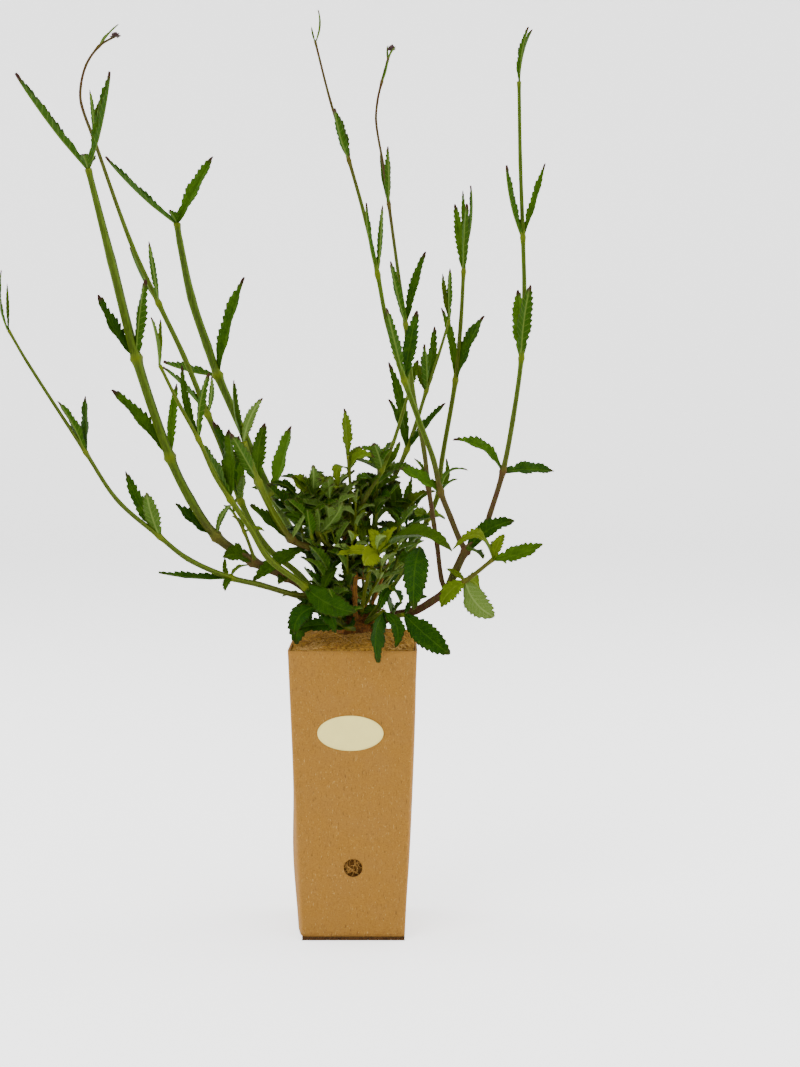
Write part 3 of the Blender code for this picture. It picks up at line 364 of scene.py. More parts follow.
# How a stem looks: its stains are (joint, share of purple brown), then how young and how woody it is.
Look = namedtuple("Look", "stains youth woody")
SHADED = Look([(0, 0.2)], 0, 0)
LOOKS = {
    "stem_left_tall": [Look([(0, 0.9), (3, 0.75), (4, 0.5), (5, 0.05)], 0.1, 0), Look([(0, 0.2)], 0.3, 0)],
    "stem_left_curled": [Look([(0, 0.1), (8, 0.05), (9, 0.5), (10, 0.85)], 0.15, 0)],
    "stem_left_thick": [Look([(0, 0.15), (3, 0.05)], 0, 0)],
    "stem_left_slender": [Look([(0, 0.1)], 0.3, 0)],
    "stem_left_low": [Look([(0, 0.6), (2, 0.4), (4, 0.1), (10, 0.15)], 0.15, 0)],
    "stem_centre": [
        Look([(0, 0.2)], 0, 1), Look([(0, 0.8), (3, 0.7), (4, 0.1)], 0.5, 0),
        Look([(0, 0.7), (1, 0.7), (3, 0.1)], 0.25, 0), Look([(0, 0.6), (2, 0.1)], 0.25, 0),
        Look([(0, 0.5), (1, 0.2)], 0.5, 0), Look([(0, 0.3)], 0.35, 0), Look([(0, 0.3)], 0.35, 0)],
    "stem_right_branched": [
        Look([(0, 0.9), (4, 0.9), (5, 0.45), (6, 0.9), (7, 0.6), (8, 0.85), (9, 0.8), (9.15, 0.3), (11, 0)],
             0.1, 0),
        Look([(0, 0.8), (3, 0.7), (4, 0.2), (5, 0), (9, 0), (10, 0.6), (12, 0.85)], 0.1, 0),
        Look([(0, 0.95), (4, 0.8), (5, 0.4), (6, 0.1), (8, 0.1), (9, 0.7), (12, 0.9)], 0.1, 0),
        Look([(0, 0.5)], 0.5, 0)],
    "stem_right_back": [Look([(0, 0.15)], 0.25, 0)],
    "stem_back_shoot": [Look([(0, 0.3)], 0.3, 0), Look([(0, 0.3)], 0.2, 0)],
    "crown": [
        Look([(0, 0.6)], 0, 1), Look([(0, 0.8)], 0, 1), Look([(0, 0.3)], 1, 0),
        SHADED, SHADED, SHADED, SHADED],
}

# Short growth that fills the middle: (x, y, z) of its foot, heading, rise, length, leaf length and youth.
MIDDLE_SHOOTS = [
    (-6, -4, 262, 230, 40, 34, 24, 0.1), (-14, -12, 270, 200, 55, 34, 22, 0.1),
    (0, -6, 262, 275, 30, 30, 18, 0.9), (4, -4, 254, 300, 25, 36, 20, 1),
    (-4, 8, 266, 140, 50, 34, 24, 0), (8, 6, 262, 60, 50, 36, 24, 0.1),
    (-10, 2, 250, 180, 35, 36, 24, 0.1), (8, -10, 236, 320, 45, 34, 22, 0.8),
    (-4, -12, 224, 225, 30, 34, 26, 0), (2, 14, 246, 90, 40, 40, 26, 0),
    (-16, 10, 244, 150, 40, 40, 26, 0), (18, 8, 246, 20, 35, 34, 24, 0.1),
    (0, -8, 282, 285, 62, 28, 18, 0.6), (-18, -18, 282, 220, 60, 26, 20, 0.1),
    (-8, -8, 222, 205, 18, 34, 26, 0), (-4, -14, 222, 245, 12, 28, 24, 0),
    (-12, -2, 224, 190, 50, 34, 28, 0), (-10, -12, 224, 215, 60, 38, 28, 0),
    (-20, -8, 262, 240, 50, 34, 28, 0), (-26, -4, 268, 215, 68, 36, 28, 0),
    (-12, 4, 280, 190, 70, 36, 26, 0.1), (10, 4, 276, 40, 66, 36, 24, 0.1),
    (20, 0, 262, 335, 48, 34, 26, 0.1), (12, -6, 246, 345, 40, 38, 26, 0.4),
    (0, 4, 238, 255, 70, 40, 26, 0.1), (-2, -10, 240, 265, 52, 36, 24, 0.2),
    (26, 6, 256, 10, 55, 36, 26, 0), (4, 0, 286, 310, 72, 32, 20, 0.4),
    (-8, -10, 286, 250, 72, 30, 22, 0.4), (6, 12, 270, 110, 62, 40, 26, 0),
    (12, 8, 302, 300, 50, 34, 24, 0), (18, 10, 308, 60, 60, 34, 24, 0.1),
    (4, 14, 290, 40, 40, 36, 26, 0), (26, 18, 276, 350, 40, 34, 26, 0),
    (-20, -16, 281, 235, 55, 34, 28, 0), (-26, -20, 292, 200, 60, 30, 24, 0),
    (6, -4, 246, 290, 58, 34, 24, 0.3), (-6, -10, 222, 225, 45, 40, 30, 0),
    (-2, -12, 221, 205, 38, 34, 28, 0), (-34, -18, 280, 165, 70, 28, 32, 0),
    (-24, -12, 282, 140, 70, 32, 30, 0), (-36, -12, 286, 185, 66, 28, 32, 0),
    (-20, -18, 294, 100, 72, 24, 20, 0.75), (-12, -10, 294, 70, 78, 26, 20, 0.85),
    (-16, -22, 290, 260, 60, 24, 24, 0.4), (-26, -24, 280, 250, 40, 26, 30, 0),
    (14, 2, 290, 20, 70, 28, 26, 0)]

# The growth is two pieces, split at this x.
MIDDLE_SPLIT = -4

def size_of(name, description, default):
    """A length that the panel shows."""
    return FloatProperty(name=name, description=description, default=default, min=0, precision=5,
                         subtype="DISTANCE", unit="LENGTH")


def colour_of(name, description, default):
    """A colour that the panel shows."""
    return FloatVectorProperty(name=name, description=description, default=default, min=0, max=1, size=3,
                               subtype="COLOR")


def watts_of(name, place, default):
    """The power of a light that the panel shows."""
    return FloatProperty(name=name, description="Watts of " + place, default=default, min=0)


class PotSettings(bpy.types.PropertyGroup):
    """Sizes and colours of the carton pot and its flap."""

    board: size_of("Board", "Thickness of the carton", 0.0015)
    fold: size_of("Fold", "Radius of the upright folds", 0.0018)
    fray: size_of("Fray", "How far the cut rim wanders up and down", 0.0003)
    kraft: colour_of("Kraft", "Face of the carton", (0.29, 0.135, 0.017))
    fibre: colour_of("Fibre", "Dark fibres in the carton", (0.10, 0.045, 0.008))
    cut: colour_of("Cut edge", "Raw edge of the board", (0.06, 0.027, 0.007))


class LabelSettings(bpy.types.PropertyGroup):
    """Sizes and colour of the oval label."""

    thickness: size_of("Thickness", "Thickness of the paper", 0.0003)
    lift: size_of("Lift", "How far the paper's edge stands off at its loosest place", 0.0005)
    paper: colour_of("Paper", "Face of the label", (0.92, 0.79, 0.25))


class SoilSettings(bpy.types.PropertyGroup):
    """Grain and colours of the soil and its roots."""

    grain: size_of("Grain", "Height of the soil's felted lumps", 0.0011)
    threads: IntProperty(name="Threads", description="Number of thin fibres on the soil", default=420, min=0)
    crumbs: IntProperty(name="Crumbs", description="Number of loose crumbs on the soil", default=260, min=0)
    dark: colour_of("Dark soil", "Damp peat in the hollows", (0.15, 0.070, 0.008))
    pale: colour_of("Pale soil", "Dry peat on the lumps", (0.46, 0.235, 0.030))
    root: colour_of("Roots", "Pale threads and roots", (0.55, 0.34, 0.10))


class PlantSettings(bpy.types.PropertyGroup):
    """Sizes and colours of the leaves and stems."""

    blade_middle: size_of("Blade at the midrib", "Thickness of a leaf beside its midrib", 0.0005)
    blade_edge: size_of("Blade at the edge", "Thickness of a leaf at its teeth", 0.00028)
    groove: size_of("Groove", "Depth of the midrib's groove", 0.0004)
    quilt: size_of("Quilting", "Height of the leaf between its veins", 0.00024)
    tooth: size_of("Teeth", "Deepest that a notch of the edge goes in", 0.0018)
    leaf_dark: colour_of("Dark leaf", "Upper face of a grown leaf", (0.0045, 0.030, 0.0004))
    leaf_light: colour_of("Light leaf", "Lit parts of a grown leaf", (0.049, 0.112, 0.0022))
    leaf_under: colour_of("Under leaf", "Underside of a leaf", (0.022, 0.064, 0.0014))
    leaf_young: colour_of("Young leaf", "Leaves that have just opened", (0.16, 0.20, 0.004))
    leaf_pale: colour_of("Pale under leaf", "Underside of a leaf that has just opened", (0.16, 0.24, 0.035))
    stem_green: colour_of("Green stem", "Stem without stain", (0.050, 0.088, 0.006))
    stain: colour_of("Stain", "Purple brown of stems, tips and teeth", (0.046, 0.010, 0.010))
    bark: colour_of("Bark", "Rusty fibres of the crown", (0.22, 0.082, 0.012))
    wood: colour_of("Wood", "Old stalk in the middle", (0.30, 0.14, 0.025))


class StudioSettings(bpy.types.PropertyGroup):
    """The camera and the soft light."""

    focal: FloatProperty(name="Focal length", description="Lens in millimetres", default=53.98, min=10)
    camera: FloatVectorProperty(name="Camera", description="Place of the camera", size=3,
                                default=(0.033, -1.139, 0.385), subtype="TRANSLATION", unit="LENGTH")
    pitch: FloatProperty(name="Pitch", description="How far down the camera looks",
                         default=math.radians(4.98), subtype="ANGLE")
    key: watts_of("Key light", "the light at the front left", 34)
    fill: watts_of("Fill light", "the light at the right", 14)
    rim: watts_of("Side lights", "each light at the sides", 26)
    top: watts_of("Top light", "the light overhead", 22)
    sky: FloatProperty(name="Sky", description="Strength of the light from all round", default=0.75, min=0)
    glow: FloatProperty(name="Glow", description="How much the backdrop glows to the camera", default=1.5,
                        min=0)
    backdrop: colour_of("Backdrop", "Seamless floor and wall", (0.93, 0.93, 0.93))


# The points, faces and painted values of a piece while it is made.


class Skin:
    """Points with three painted values each, and faces with their finish."""

    def __init__(self):
        self.points = []
        self.faces = []
        self.finishes = []
        self.smooth = []
        self.painted = {"place": [], "share": [], "tint": []}

    def point(self, point, place=(0, 0, 0), share=(0, 0, 0), tint=(0, 0, 0)):
        """Add a point and return its number."""
        self.points.append(point)
        for values, value in zip(self.painted.values(), (place, share, tint)):
            values.extend(value)
        return len(self.points) - 1

    def face(self, corners, finish, smooth=True):
        """Add a face of a finish."""
        self.faces.append(corners)
        self.finishes.append(finish)
        self.smooth.append(smooth)

    def band(self, low, high, finish, smooth=True):
        """Join two closed rings of as many points each."""
        for k in range(len(low)):
            n = (k + 1) % len(low)
            self.face((low[k], low[n], high[n], high[k]), finish, smooth)

    def tube(self, rings, finish):
        """Join rings into a tube and close its ends."""
        for low, high in zip(rings, rings[1:]):
            self.band(low, high, finish)
        self.face(tuple(reversed(rings[0])), finish)
        self.face(tuple(rings[-1]), finish)

    def piece(self, name, finishes, slot, *nodes):
        """Turn the skin into an object that rides in the pot and stands for the nodes."""
        mesh = bpy.data.meshes.new(name)
        inside = [tuple(min(max(value, low), high) for value, low, high in zip(point, LOWEST, HIGHEST))
                  for point in self.points]
        mesh.from_pydata(inside, [], self.faces)
        mesh.polygons.foreach_set("material_index", self.finishes)
        mesh.polygons.foreach_set("use_smooth", self.smooth)
        for label, values in self.painted.items():
            mesh.attributes.new(label, "FLOAT_VECTOR", "POINT").data.foreach_set("vector", values)
        mesh.update()
        for finish in finishes:
            mesh.materials.append(finish)
        obj = link_object(name, mesh)
        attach(obj, BODY)
        if nodes:
            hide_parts(*nodes)
        return obj


def link_object(name, data):
    """A new object of the scene that holds a mesh, a light or a camera."""
    obj = bpy.data.objects.new(name, data)
    bpy.context.scene.collection.objects.link(obj)
    return obj


def mesh_of(name, shape):
    """A mesh made from a bmesh, which is freed."""
    mesh = bpy.data.meshes.new(name)
    shape.to_mesh(mesh)
    shape.free()
    return mesh


# Shapes shared by the pieces.


def ease_value(values, share):
    """The value at a share of the way along evenly spaced values, by a smooth curve through them."""
    at = share * (len(values) - 1)
    k = min(int(at), len(values) - 2)
    part = at - k
    before = values[max(k - 1, 0)]
    after = values[min(k + 2, len(values) - 1)]
    first, second = values[k], values[k + 1]
    rise, fall = (second - before) / 2, (after - first) / 2
    return (first * (1 - 3 * part ** 2 + 2 * part ** 3) + second * (3 * part ** 2 - 2 * part ** 3)
            + rise * part * (1 - part) ** 2 - fall * part ** 2 * (1 - part))


def half_width(share):
    """Half the pot's width at a share of its height."""
    return (POT_BASE + (POT_TOP - POT_BASE) * share) / 2


def wall_point(across, along, z, inset):
    """A point of the pot's outer wall moved in by inset. Across and along run from -1 to 1."""
    height = (z - POT_FLOOR) / (POT_HEIGHT - POT_FLOOR)
    half = half_width(height) - inset
    side = LEFT_BULGE if across < 0 else RIGHT_BULGE
    x = across * (half + max(ease_value(side, height), 0) * (1 - along ** 2))
    y = along * half
    if along > 0:
        y += along * max(ease_value(BACK_BULGE, height), 0) * (1 - across ** 2)
    return x, y


def square_point(side, share):
    """(across, along) on a side of a square, the front being side 0, at a share from -1 to 1 of it."""
    return ((share, -1), (1, share), (-share, 1), (-1, -share))[side]


def direction(bearing, rise):
    """The direction at a bearing and at a rise from the level."""
    return Vector((math.cos(bearing) * math.cos(rise), math.sin(bearing) * math.cos(rise), math.sin(rise)))


def outline(share):
    """The blade's width at a share of its length, where its widest place is 1."""
    return max(math.sin(math.pi * share ** (math.log(0.5) / math.log(WIDEST_AT))), 0) ** 0.6


def blade_frame(heading, rise, turn):
    """The blade's direction, the way its arch rises, its side and the way its upper face looks."""
    ahead = direction(heading, rise)
    lift = (Vector((0, 0, 1)) - ahead * ahead.z).normalized()
    face = Matrix.Rotation(turn, 3, ahead) @ lift
    return ahead, lift, face.cross(ahead), face


def saw(phase):
    """How far a tooth stands out at a phase of it: a long rise and a short fall."""
    return phase / TOOTH_RISE if phase < TOOTH_RISE else (1 - phase) / (1 - TOOTH_RISE)


def blade_rows(length, width):
    """Shares of the length at which a blade has points, and the length of one tooth."""
    if width < NARROWEST_TOOTHED:
        return [0, 0.08, 0.2, 0.35, 0.5, 0.65, 0.8, 0.92, 1], 1
    count = max(3, round((LAST_TOOTH - FIRST_TOOTH) * length / (1.5 + 0.05 * length)))
    pitch = (LAST_TOOTH - FIRST_TOOTH) / count
    rows = [0, 0.04, 0.08, 0.13, 0.19, 0.235]
    rows += [FIRST_TOOTH + pitch * (k + phase) for k in range(count) for phase in TOOTH_PHASES]
    return rows + [LAST_TOOTH, 0.975, 1], pitch


def add_blade(skin, root, leaf, stain, youth, lightness, draw, plant):
    """A toothed leaf of a stem: a thin closed shell, quilted between its veins and grooved at its midrib."""
    heading, rise, fold, turn = (math.radians(leaf[k]) for k in (1, 2, 5, 7))
    length, width, arch = leaf[3] * MM, leaf[4] * MM, leaf[6] * MM
    ahead, lift, side, face = blade_frame(heading, rise, turn)
    rows, pitch = blade_rows(leaf[3], leaf[4])
    toothed = leaf[4] >= NARROWEST_TOOTHED
    vein = pitch * length * 1.1 if toothed else length
    notch = min(width * 0.14, plant.tooth)
    depths = [[draw.uniform(0.55, 1.25) for _ in range(MOST_TEETH)] for _ in range(2)]
    # A random tone for each leaf, cut to a tenth on low leaves as painted shade.
    wave, shade = draw.uniform(0, math.tau), draw.random() * lightness
    waviness = min(width * 0.05, LARGEST_WAVE)
    quilting = plant.quilt * min(width / (12 * MM), 1.3)
    upper, under = [], []
    for row in rows:
        half = max(min(outline(row), 0.2 + 2.3 * row), 0.09) * width / 2
        half = max(half, min(0.0009, 0.4 * width) * (1 - 6 * row))
        spine = root + ahead * length * row + lift * arch * 4 * row * (1 - row)
        thin = 1 - 0.35 * row
        upper.append([])
        under.append([])
        for column in BLADE_COLUMNS:
            reach, forward = abs(column), 0
            across = column * half
            if toothed:
                count = (row - FIRST_TOOTH) / pitch + (0.5 if column > 0 else 0)
                out = saw(count % 1) if 0 <= count and row < 0.985 else 1
                depth = notch * depths[column > 0][int(count) % MOST_TEETH] * min(half / width * 3, 1)
                across -= math.copysign(depth * (1 - out if reach == 1 else 0.5 * reach), column)
                forward = 0.1 * pitch * length * out if reach == 1 and row < 0.96 else 0
            veins = ((row * length - VEIN_SLANT * abs(across)) / vein) % 1
            bulge = quilting * (math.sin(math.pi * veins) - 0.6) * math.sin(math.pi * min(reach, 0.94))
            rib = math.exp(-(across / MIDRIB_WIDTH) ** 2)
            ripple = waviness * reach ** 2 * math.sin(row * 17 + wave + 1.7 * column)
            raised = (abs(across) - half / 2) * math.sin(fold) + bulge + ripple - plant.groove * rib * thin
            half_thick = (plant.blade_middle + (plant.blade_edge - plant.blade_middle) * reach) / 2
            centre = spine + ahead * forward + side * across * math.cos(fold) + face * raised
            place = (across / MM, row * length / MM)
            painted = ((reach, row, stain), (youth, shade, vein / MM))
            upper[-1].append(skin.point(centre + face * half_thick, (*place, 1), *painted))
            bottom = centre - face * (half_thick + 0.8 * plant.groove * rib * thin)
            under[-1].append(skin.point(bottom, (*place, 0), *painted))
    last = len(BLADE_COLUMNS) - 1
    for top, next_top, low, next_low in zip(upper, upper[1:], under, under[1:]):
        for n in range(last):
            skin.face((top[n], next_top[n], next_top[n + 1], top[n + 1]), BLADE)
            skin.face((low[n], low[n + 1], next_low[n + 1], next_low[n]), BLADE)
        skin.face((top[0], low[0], next_low[0], next_top[0]), BLADE, False)
        skin.face((top[last], next_top[last], next_low[last], low[last]), BLADE, False)
    skin.face((*upper[0], *reversed(under[0])), BLADE, False)
    skin.face((*reversed(upper[-1]), *under[-1]), BLADE, False)


def stem_steps(joints):
    """(place, radius, joint) at close steps of a smooth curve through a stem's joints."""
    places = [Vector(joint[:3]) * MM for joint in joints]
    radii = [joint[3] / 2 * MM * CORNER_RATIO for joint in joints]
    slopes = [(after - before).normalized()
              for before, after in zip(places[:1] + places[:-1], places[1:] + places[-1:])]
    steps = []
    for k in range(len(places) - 1):
        span = (places[k + 1] - places[k]).length
        count = max(3, round(span / STEM_STEP))
        handle = span / 3
        curve = interpolate_bezier(places[k], places[k] + slopes[k] * handle,
                                   places[k + 1] - slopes[k + 1] * handle, places[k + 1], count + 1)
        for step in range(count):
            share = step / count
            waist = 0.93 + 0.09 * abs(2 * share - 1) ** 3
            steps.append((curve[step], (radii[k] + (radii[k + 1] - radii[k]) * share) * waist, k + share))
    return steps + [(places[-1], radii[-1], len(joints) - 1)]


def across_path(places):
    """The ways one and other across a path at each of its places, turned as little as can be."""
    frames, side = [], None
    for before, after in zip(places[:1] + places[:-1], places[1:] + places[-1:]):
        ahead = (after - before).normalized()
        side = side or ahead.orthogonal().normalized()
        side = (side - ahead * side.dot(ahead)).normalized()
        frames.append((side, ahead.cross(side)))
    return frames


def turns_round(sides, frame):
    """(angle, direction) of points evenly spaced round a path's frame."""
    one, other = frame
    for n in range(sides):
        angle = math.tau * n / sides
        yield angle, one * math.cos(angle) + other * math.sin(angle)


def stain_at(look, joint):
    """The share of stain at a joint, between those that the look gives."""
    before = look.stains[0]
    for after in look.stains:
        if after[0] >= joint:
            gap = after[0] - before[0]
            share = (joint - before[0]) / gap if gap else 0
            return before[1] + (after[1] - before[1]) * share
        before = after
    return before[1]


def add_stem(skin, stem, look, draw):
    """A ridged stem, square in section, with a collar at each joint that bears leaves."""
    steps = stem_steps(stem.joints)
    frames = across_path([place for place, _, _ in steps])
    collars = [Vector(stem.joints[k][:3]) * MM for k in sorted({leaf[0] for leaf in stem.leaves})]
    shade = draw.random()
    rings = []
    along = 0
    for k, (place, radius, joint) in enumerate(steps):
        if k:
            along += (place - steps[k - 1][0]).length
        nearest = min(((place - collar).length for collar in collars), default=1)
        collar = math.exp(-(nearest / COLLAR_LENGTH) ** 2)
        radius *= 1 + 0.22 * collar + 0.14 * math.exp(-(nearest / COLLAR_RIDGE) ** 2)
        radius += 0.1 * MM
        if look.woody:
            radius *= 1 + 0.16 * noise.noise(place * 210)
        if k == len(steps) - 1:
            radius *= 0.55 + 0.35 * collar
        stain = stain_at(look, joint)
        ring = []
        for angle, out in turns_round(STEM_SIDES, frames[k]):
            corner = math.cos(4 * angle)
            ring.append(skin.point(place + out * radius * (0.87 + 0.13 * corner), (corner, along / MM, 0),
                                   (collar, 0, stain), (look.youth, look.woody, shade)))
        rings.append(ring)
    skin.tube(rings, STEM)


def add_thread(skin, places, radius, finish, sides=5, tint=(0, 0, 0)):
    """A thin round thread through some places, thinner at its ends."""
    rings = []
    for k, (place, frame) in enumerate(zip(places, across_path(places))):
        thick = radius * (0.35 + 0.65 * math.sin(math.pi * (k + 0.5) / len(places)) ** 0.5)
        rings.append([skin.point(place + out * thick, tint=tint) for _, out in turns_round(sides, frame)])
    skin.tube(rings, finish)


def add_strand(skin, draw, place, way, sway, steps, stride, girth, sides):
    """A dry strand of bark that wanders off from a place and bends by a sway at each step."""
    places = []
    for _ in range(steps):
        places.append(place.copy())
        place += way * draw.uniform(*stride) * MM
        way = (way + sway).normalized()
    add_thread(skin, places, draw.uniform(*girth) * MM, BARK, sides)


def add_bud(skin, foot, ahead, length, girth, stain):
    """A small ribbed bud."""
    frame = across_path([foot, foot + ahead])[0]
    rings = []
    for k in range(BUD_RINGS):
        share = k / (BUD_RINGS - 1)
        radius = girth / 2 * max(math.sin(math.pi * (0.08 + 0.88 * share) ** 0.8), 0.12)
        ring = []
        for angle, out in turns_round(2 * BUD_RIBS, frame):
            rib = math.cos(BUD_RIBS * angle)
            point = foot + ahead * length * share + out * (radius * (1 + 0.14 * rib))
            ring.append(skin.point(point, (rib, share, 0), (0, share, stain)))
        rings.append(ring)
    skin.tube(rings, BUD)


def add_bud_head(skin, joint, draw, reach):
    """The tight head of buds at the tip of a stem."""
    tip = Vector(joint[:3]) * MM
    for k in range(BUDS):
        ahead = direction(k * 2.4, 1.45 - 1.5 * k / BUDS)
        foot = tip + ahead * reach * draw.uniform(0.15, 0.5)
        length, girth = draw.uniform(2.0, 2.9) * MM, draw.uniform(1.1, 1.5) * MM
        add_bud(skin, foot, ahead, length, girth, draw.uniform(0.6, 1))


def middle_shoot(draw, carrier, foot, heading, rise, length, leaf_length):
    """A short stem that leaves its carrier, with a pair of leaves at each joint past its foot."""
    joints, leaves = [(*carrier, 2.4)], []
    x, y, z = foot
    for k in range(1, 5):
        joints.append((x, y, z, 2.5 - 0.35 * k))
        bearing = math.radians(heading + draw.uniform(-18, 18))
        climb = math.radians(min(rise + 8 * k, 88))
        step = length / 3
        x += step * math.cos(bearing) * math.cos(climb)
        y += step * math.sin(bearing) * math.cos(climb)
        z += step * math.sin(climb)
        if k > 1:
            turned = heading + 90 * k + draw.uniform(-25, 25)
            for way in (turned, turned + 180):
                size = leaf_length * draw.uniform(0.8, 1.2) * (1.15 - 0.1 * k)
                leaves.append((k, way, draw.uniform(5, 55), size, size * draw.uniform(0.4, 0.58),
                               draw.uniform(15, 35), draw.uniform(1, 4), draw.uniform(-50, 50)))
    return Stem(joints, leaves)


def grow(skin, stems, looks, draw, plant):
    """Stems with their leaves. Low leaves that aren't young are painted dark, as shade low in the plant."""
    for stem, look in zip(stems, looks):
        add_stem(skin, stem, look, draw)
        for leaf in stem.leaves:
            root = Vector(stem.joints[leaf[0]][:3]) * MM
            share = 1 if leaf[3] < YOUNG_LENGTH else LONG_LEAF_YOUTH
            youth = share * min(max(look.youth + draw.uniform(-0.12, 0.12), 0), 1)
            # Painted shade: low leaves that aren't young keep only a tenth of their random lightness.
            lightness = 0.1 if look.youth < 0.35 and root.z < SHADE_PAINTED_BELOW else 1
            add_blade(skin, root, leaf, stain_at(look, leaf[0]), youth, lightness, draw, plant)


# Node trees, which the finishes and the shared effects are made of.


class Tree:
    """A node tree with short names for the nodes used here. Its textures lie in the coordinates where."""

    def __init__(self, tree, where):
        self.tree = tree
        self.where = where

    def feed(self, made, key, value):
        """Link a value to a node's input, or set it there."""
        socket = made.inputs[key]
        if isinstance(value, bpy.types.NodeSocket):
            self.tree.links.new(value, socket)
        elif socket.type == "RGBA":
            socket.default_value = (*value, 1)[:4]
        else:
            socket.default_value = value

    def node(self, kind, inputs, **settings):
        """A new node with its settings and its inputs."""
        made = self.tree.nodes.new(kind)
        for key, value in settings.items():
            setattr(made, key, value)
        for key, value in inputs.items():
            self.feed(made, key, value)
        return made

    def calc(self, operation, first, second=0.0):
        """The result of one sum."""
        return self.node("ShaderNodeMath", {0: first, 1: second}, operation=operation).outputs[0]

    def times(self, first, second):
        """A product."""
        return self.calc("MULTIPLY", first, second)

    def plus(self, first, second):
        """A sum of two values."""
        return self.calc("ADD", first, second)

    def most(self, first, second):
        """The greater of two values."""
        return self.calc("MAXIMUM", first, second)

    def ramp(self, value, low, high, start=0.0, end=1.0):
        """A value run smoothly from start to end as another goes from low to high."""
        return self.node("ShaderNodeMapRange", {0: value, 1: low, 2: high, 3: start, 4: end},
                         interpolation_type="SMOOTHSTEP").outputs[0]

    def mix(self, share, first, second):
        """A colour between two, by a share."""
        return self.node("ShaderNodeMix", {0: share, 6: first, 7: second}, data_type="RGBA").outputs[2]

    def coats(self, colour, *coats):
        """A colour with others laid over it in turn, each (share, colour)."""
        for share, coat in coats:
            colour = self.mix(share, colour, coat)
        return colour

    def mottle(self, scale, detail=2.0, roughness=0.5, at=None):
        """Soft noise at a scale of so many per metre."""
        return self.node("ShaderNodeTexNoise", {"Vector": at or self.where, "Scale": scale, "Detail": detail,
                                                "Roughness": roughness}).outputs[0]

    def streaks(self, scale, detail, turn, squeeze):
        """Noise drawn out along its last direction, which is squeezed, after a turn."""
        drawn = self.node("ShaderNodeMapping", {"Vector": self.where, "Rotation": turn,
                                                "Scale": (1, 1, squeeze)})
        return self.mottle(scale, detail, at=drawn.outputs[0])

    def parts(self, vector):
        """The three numbers of a vector."""
        return self.node("ShaderNodeSeparateXYZ", {0: vector}).outputs

    def painted(self, *names):
        """The three numbers painted on a piece's points under each name."""
        return [self.parts(self.node("ShaderNodeAttribute", {}, attribute_name=name).outputs["Vector"])
                for name in names]

    def effect(self, make, amount):
        """The outputs of a shared effect at this tree's coordinates, with its number set."""
        group = bpy.data.node_groups.get(make.__name__) or make_effect(make)
        return self.node("ShaderNodeGroup", {0: self.where, 1: amount}, node_tree=group).outputs


class Finish(Tree):
    """The tree of a new material, with its shader, in the object's own coordinates."""

    def __init__(self, name, roughness, specular=0.5, sheen=0.0):
        self.material = bpy.data.materials.new(name)
        self.material.use_nodes = True
        tree = self.material.node_tree
        super().__init__(tree, tree.nodes.new("ShaderNodeTexCoord").outputs["Object"])
        self.shader = tree.nodes["Principled BSDF"]
        self.feed(self.shader, "Roughness", roughness)
        self.feed(self.shader, "Specular IOR Level", specular)
        self.feed(self.shader, "Sheen Weight", sheen)

    def height(self):
        """Height above the table."""
        return self.parts(self.where)[2]

    def done(self, colour, relief, depth, strength=1.0, roughness=None):
        """The material, with its colour, its roughness and a relief so many metres deep wired up."""
        bump = self.node("ShaderNodeBump", {"Height": relief, "Distance": depth, "Strength": strength})
        self.feed(self.shader, "Base Color", colour)
        self.feed(self.shader, "Normal", bump.outputs[0])
        if roughness:
            self.feed(self.shader, "Roughness", roughness)
        return self.material


def make_effect(make):
    """The node group of a shared effect, whose inputs are coordinates and one number."""
    group = bpy.data.node_groups.new(make.__name__, "ShaderNodeTree")
    group.interface.new_socket("Vector", in_out="INPUT", socket_type="NodeSocketVector")
    group.interface.new_socket(EFFECTS[make], in_out="INPUT", socket_type="NodeSocketFloat")
    given = group.nodes.new("NodeGroupInput").outputs
    results = make(Tree(group, given[0]), given[1])
    for label in results:
        group.interface.new_socket(label, in_out="OUTPUT", socket_type="NodeSocketFloat")
    ends = group.nodes.new("NodeGroupOutput").inputs
    for label, value in results.items():
        group.links.new(value, ends[label])
    return group


def paper_fibres(tree, amount):
    """Short fibres, dark and pale, and soft mottling, as in pressed paper."""
    turns = ((0.3, 0.5, 0), (0.2, -0.9, 0.4), (0, 1.4, 1.1), (0.5, 2.3, 0.2))
    layers = [tree.streaks(1250 + 200 * k, 1, turn, 0.16) for k, turn in enumerate(turns)]
    dark, pale = tree.most(*layers[:2]), tree.most(*layers[2:])
    specks = tree.ramp(tree.mottle(900, 1), 0.74, 0.80)
    return {
        "Dark fibres": tree.times(tree.most(tree.ramp(dark, 0.68, 0.76), specks), amount),
        "Pale fibres": tree.times(tree.ramp(pale, 0.70, 0.78), amount),
        "Mottling": tree.mottle(60, 4, 0.6),
        "Height": tree.plus(tree.times(tree.mottle(2600), 0.6), tree.times(dark, 0.7)),
    }


def peat_crumbs(tree, scale):
    """Lumps, pits and flecks, as in peat and old bark."""
    lumps = tree.mottle(scale, 6.0, 0.65)
    cells = tree.node("ShaderNodeTexVoronoi", {"Vector": tree.where, "Scale": scale}).outputs
    return {
        "Lumps": lumps,
        "Flecks": tree.ramp(tree.parts(cells["Color"])[0], 0.86, 0.9),
        "Height": tree.calc("SUBTRACT", lumps, tree.times(cells[0], 0.5)),
    }


def plant_down(tree, density):
    """The short soft hairs that lie on leaves and stems, as a mask and a height."""
    both = tree.most(tree.streaks(3600, 1, (0.4, 0.3, 0), 0.2), tree.streaks(4100, 1, (1.2, -0.4, 0.9), 0.2))
    return {"Hairs": tree.times(tree.ramp(both, 0.62, 0.78), density), "Height": both}


# What the number that each shared effect takes is.
EFFECTS = {paper_fibres: "Amount", peat_crumbs: "Scale", plant_down: "Density"}


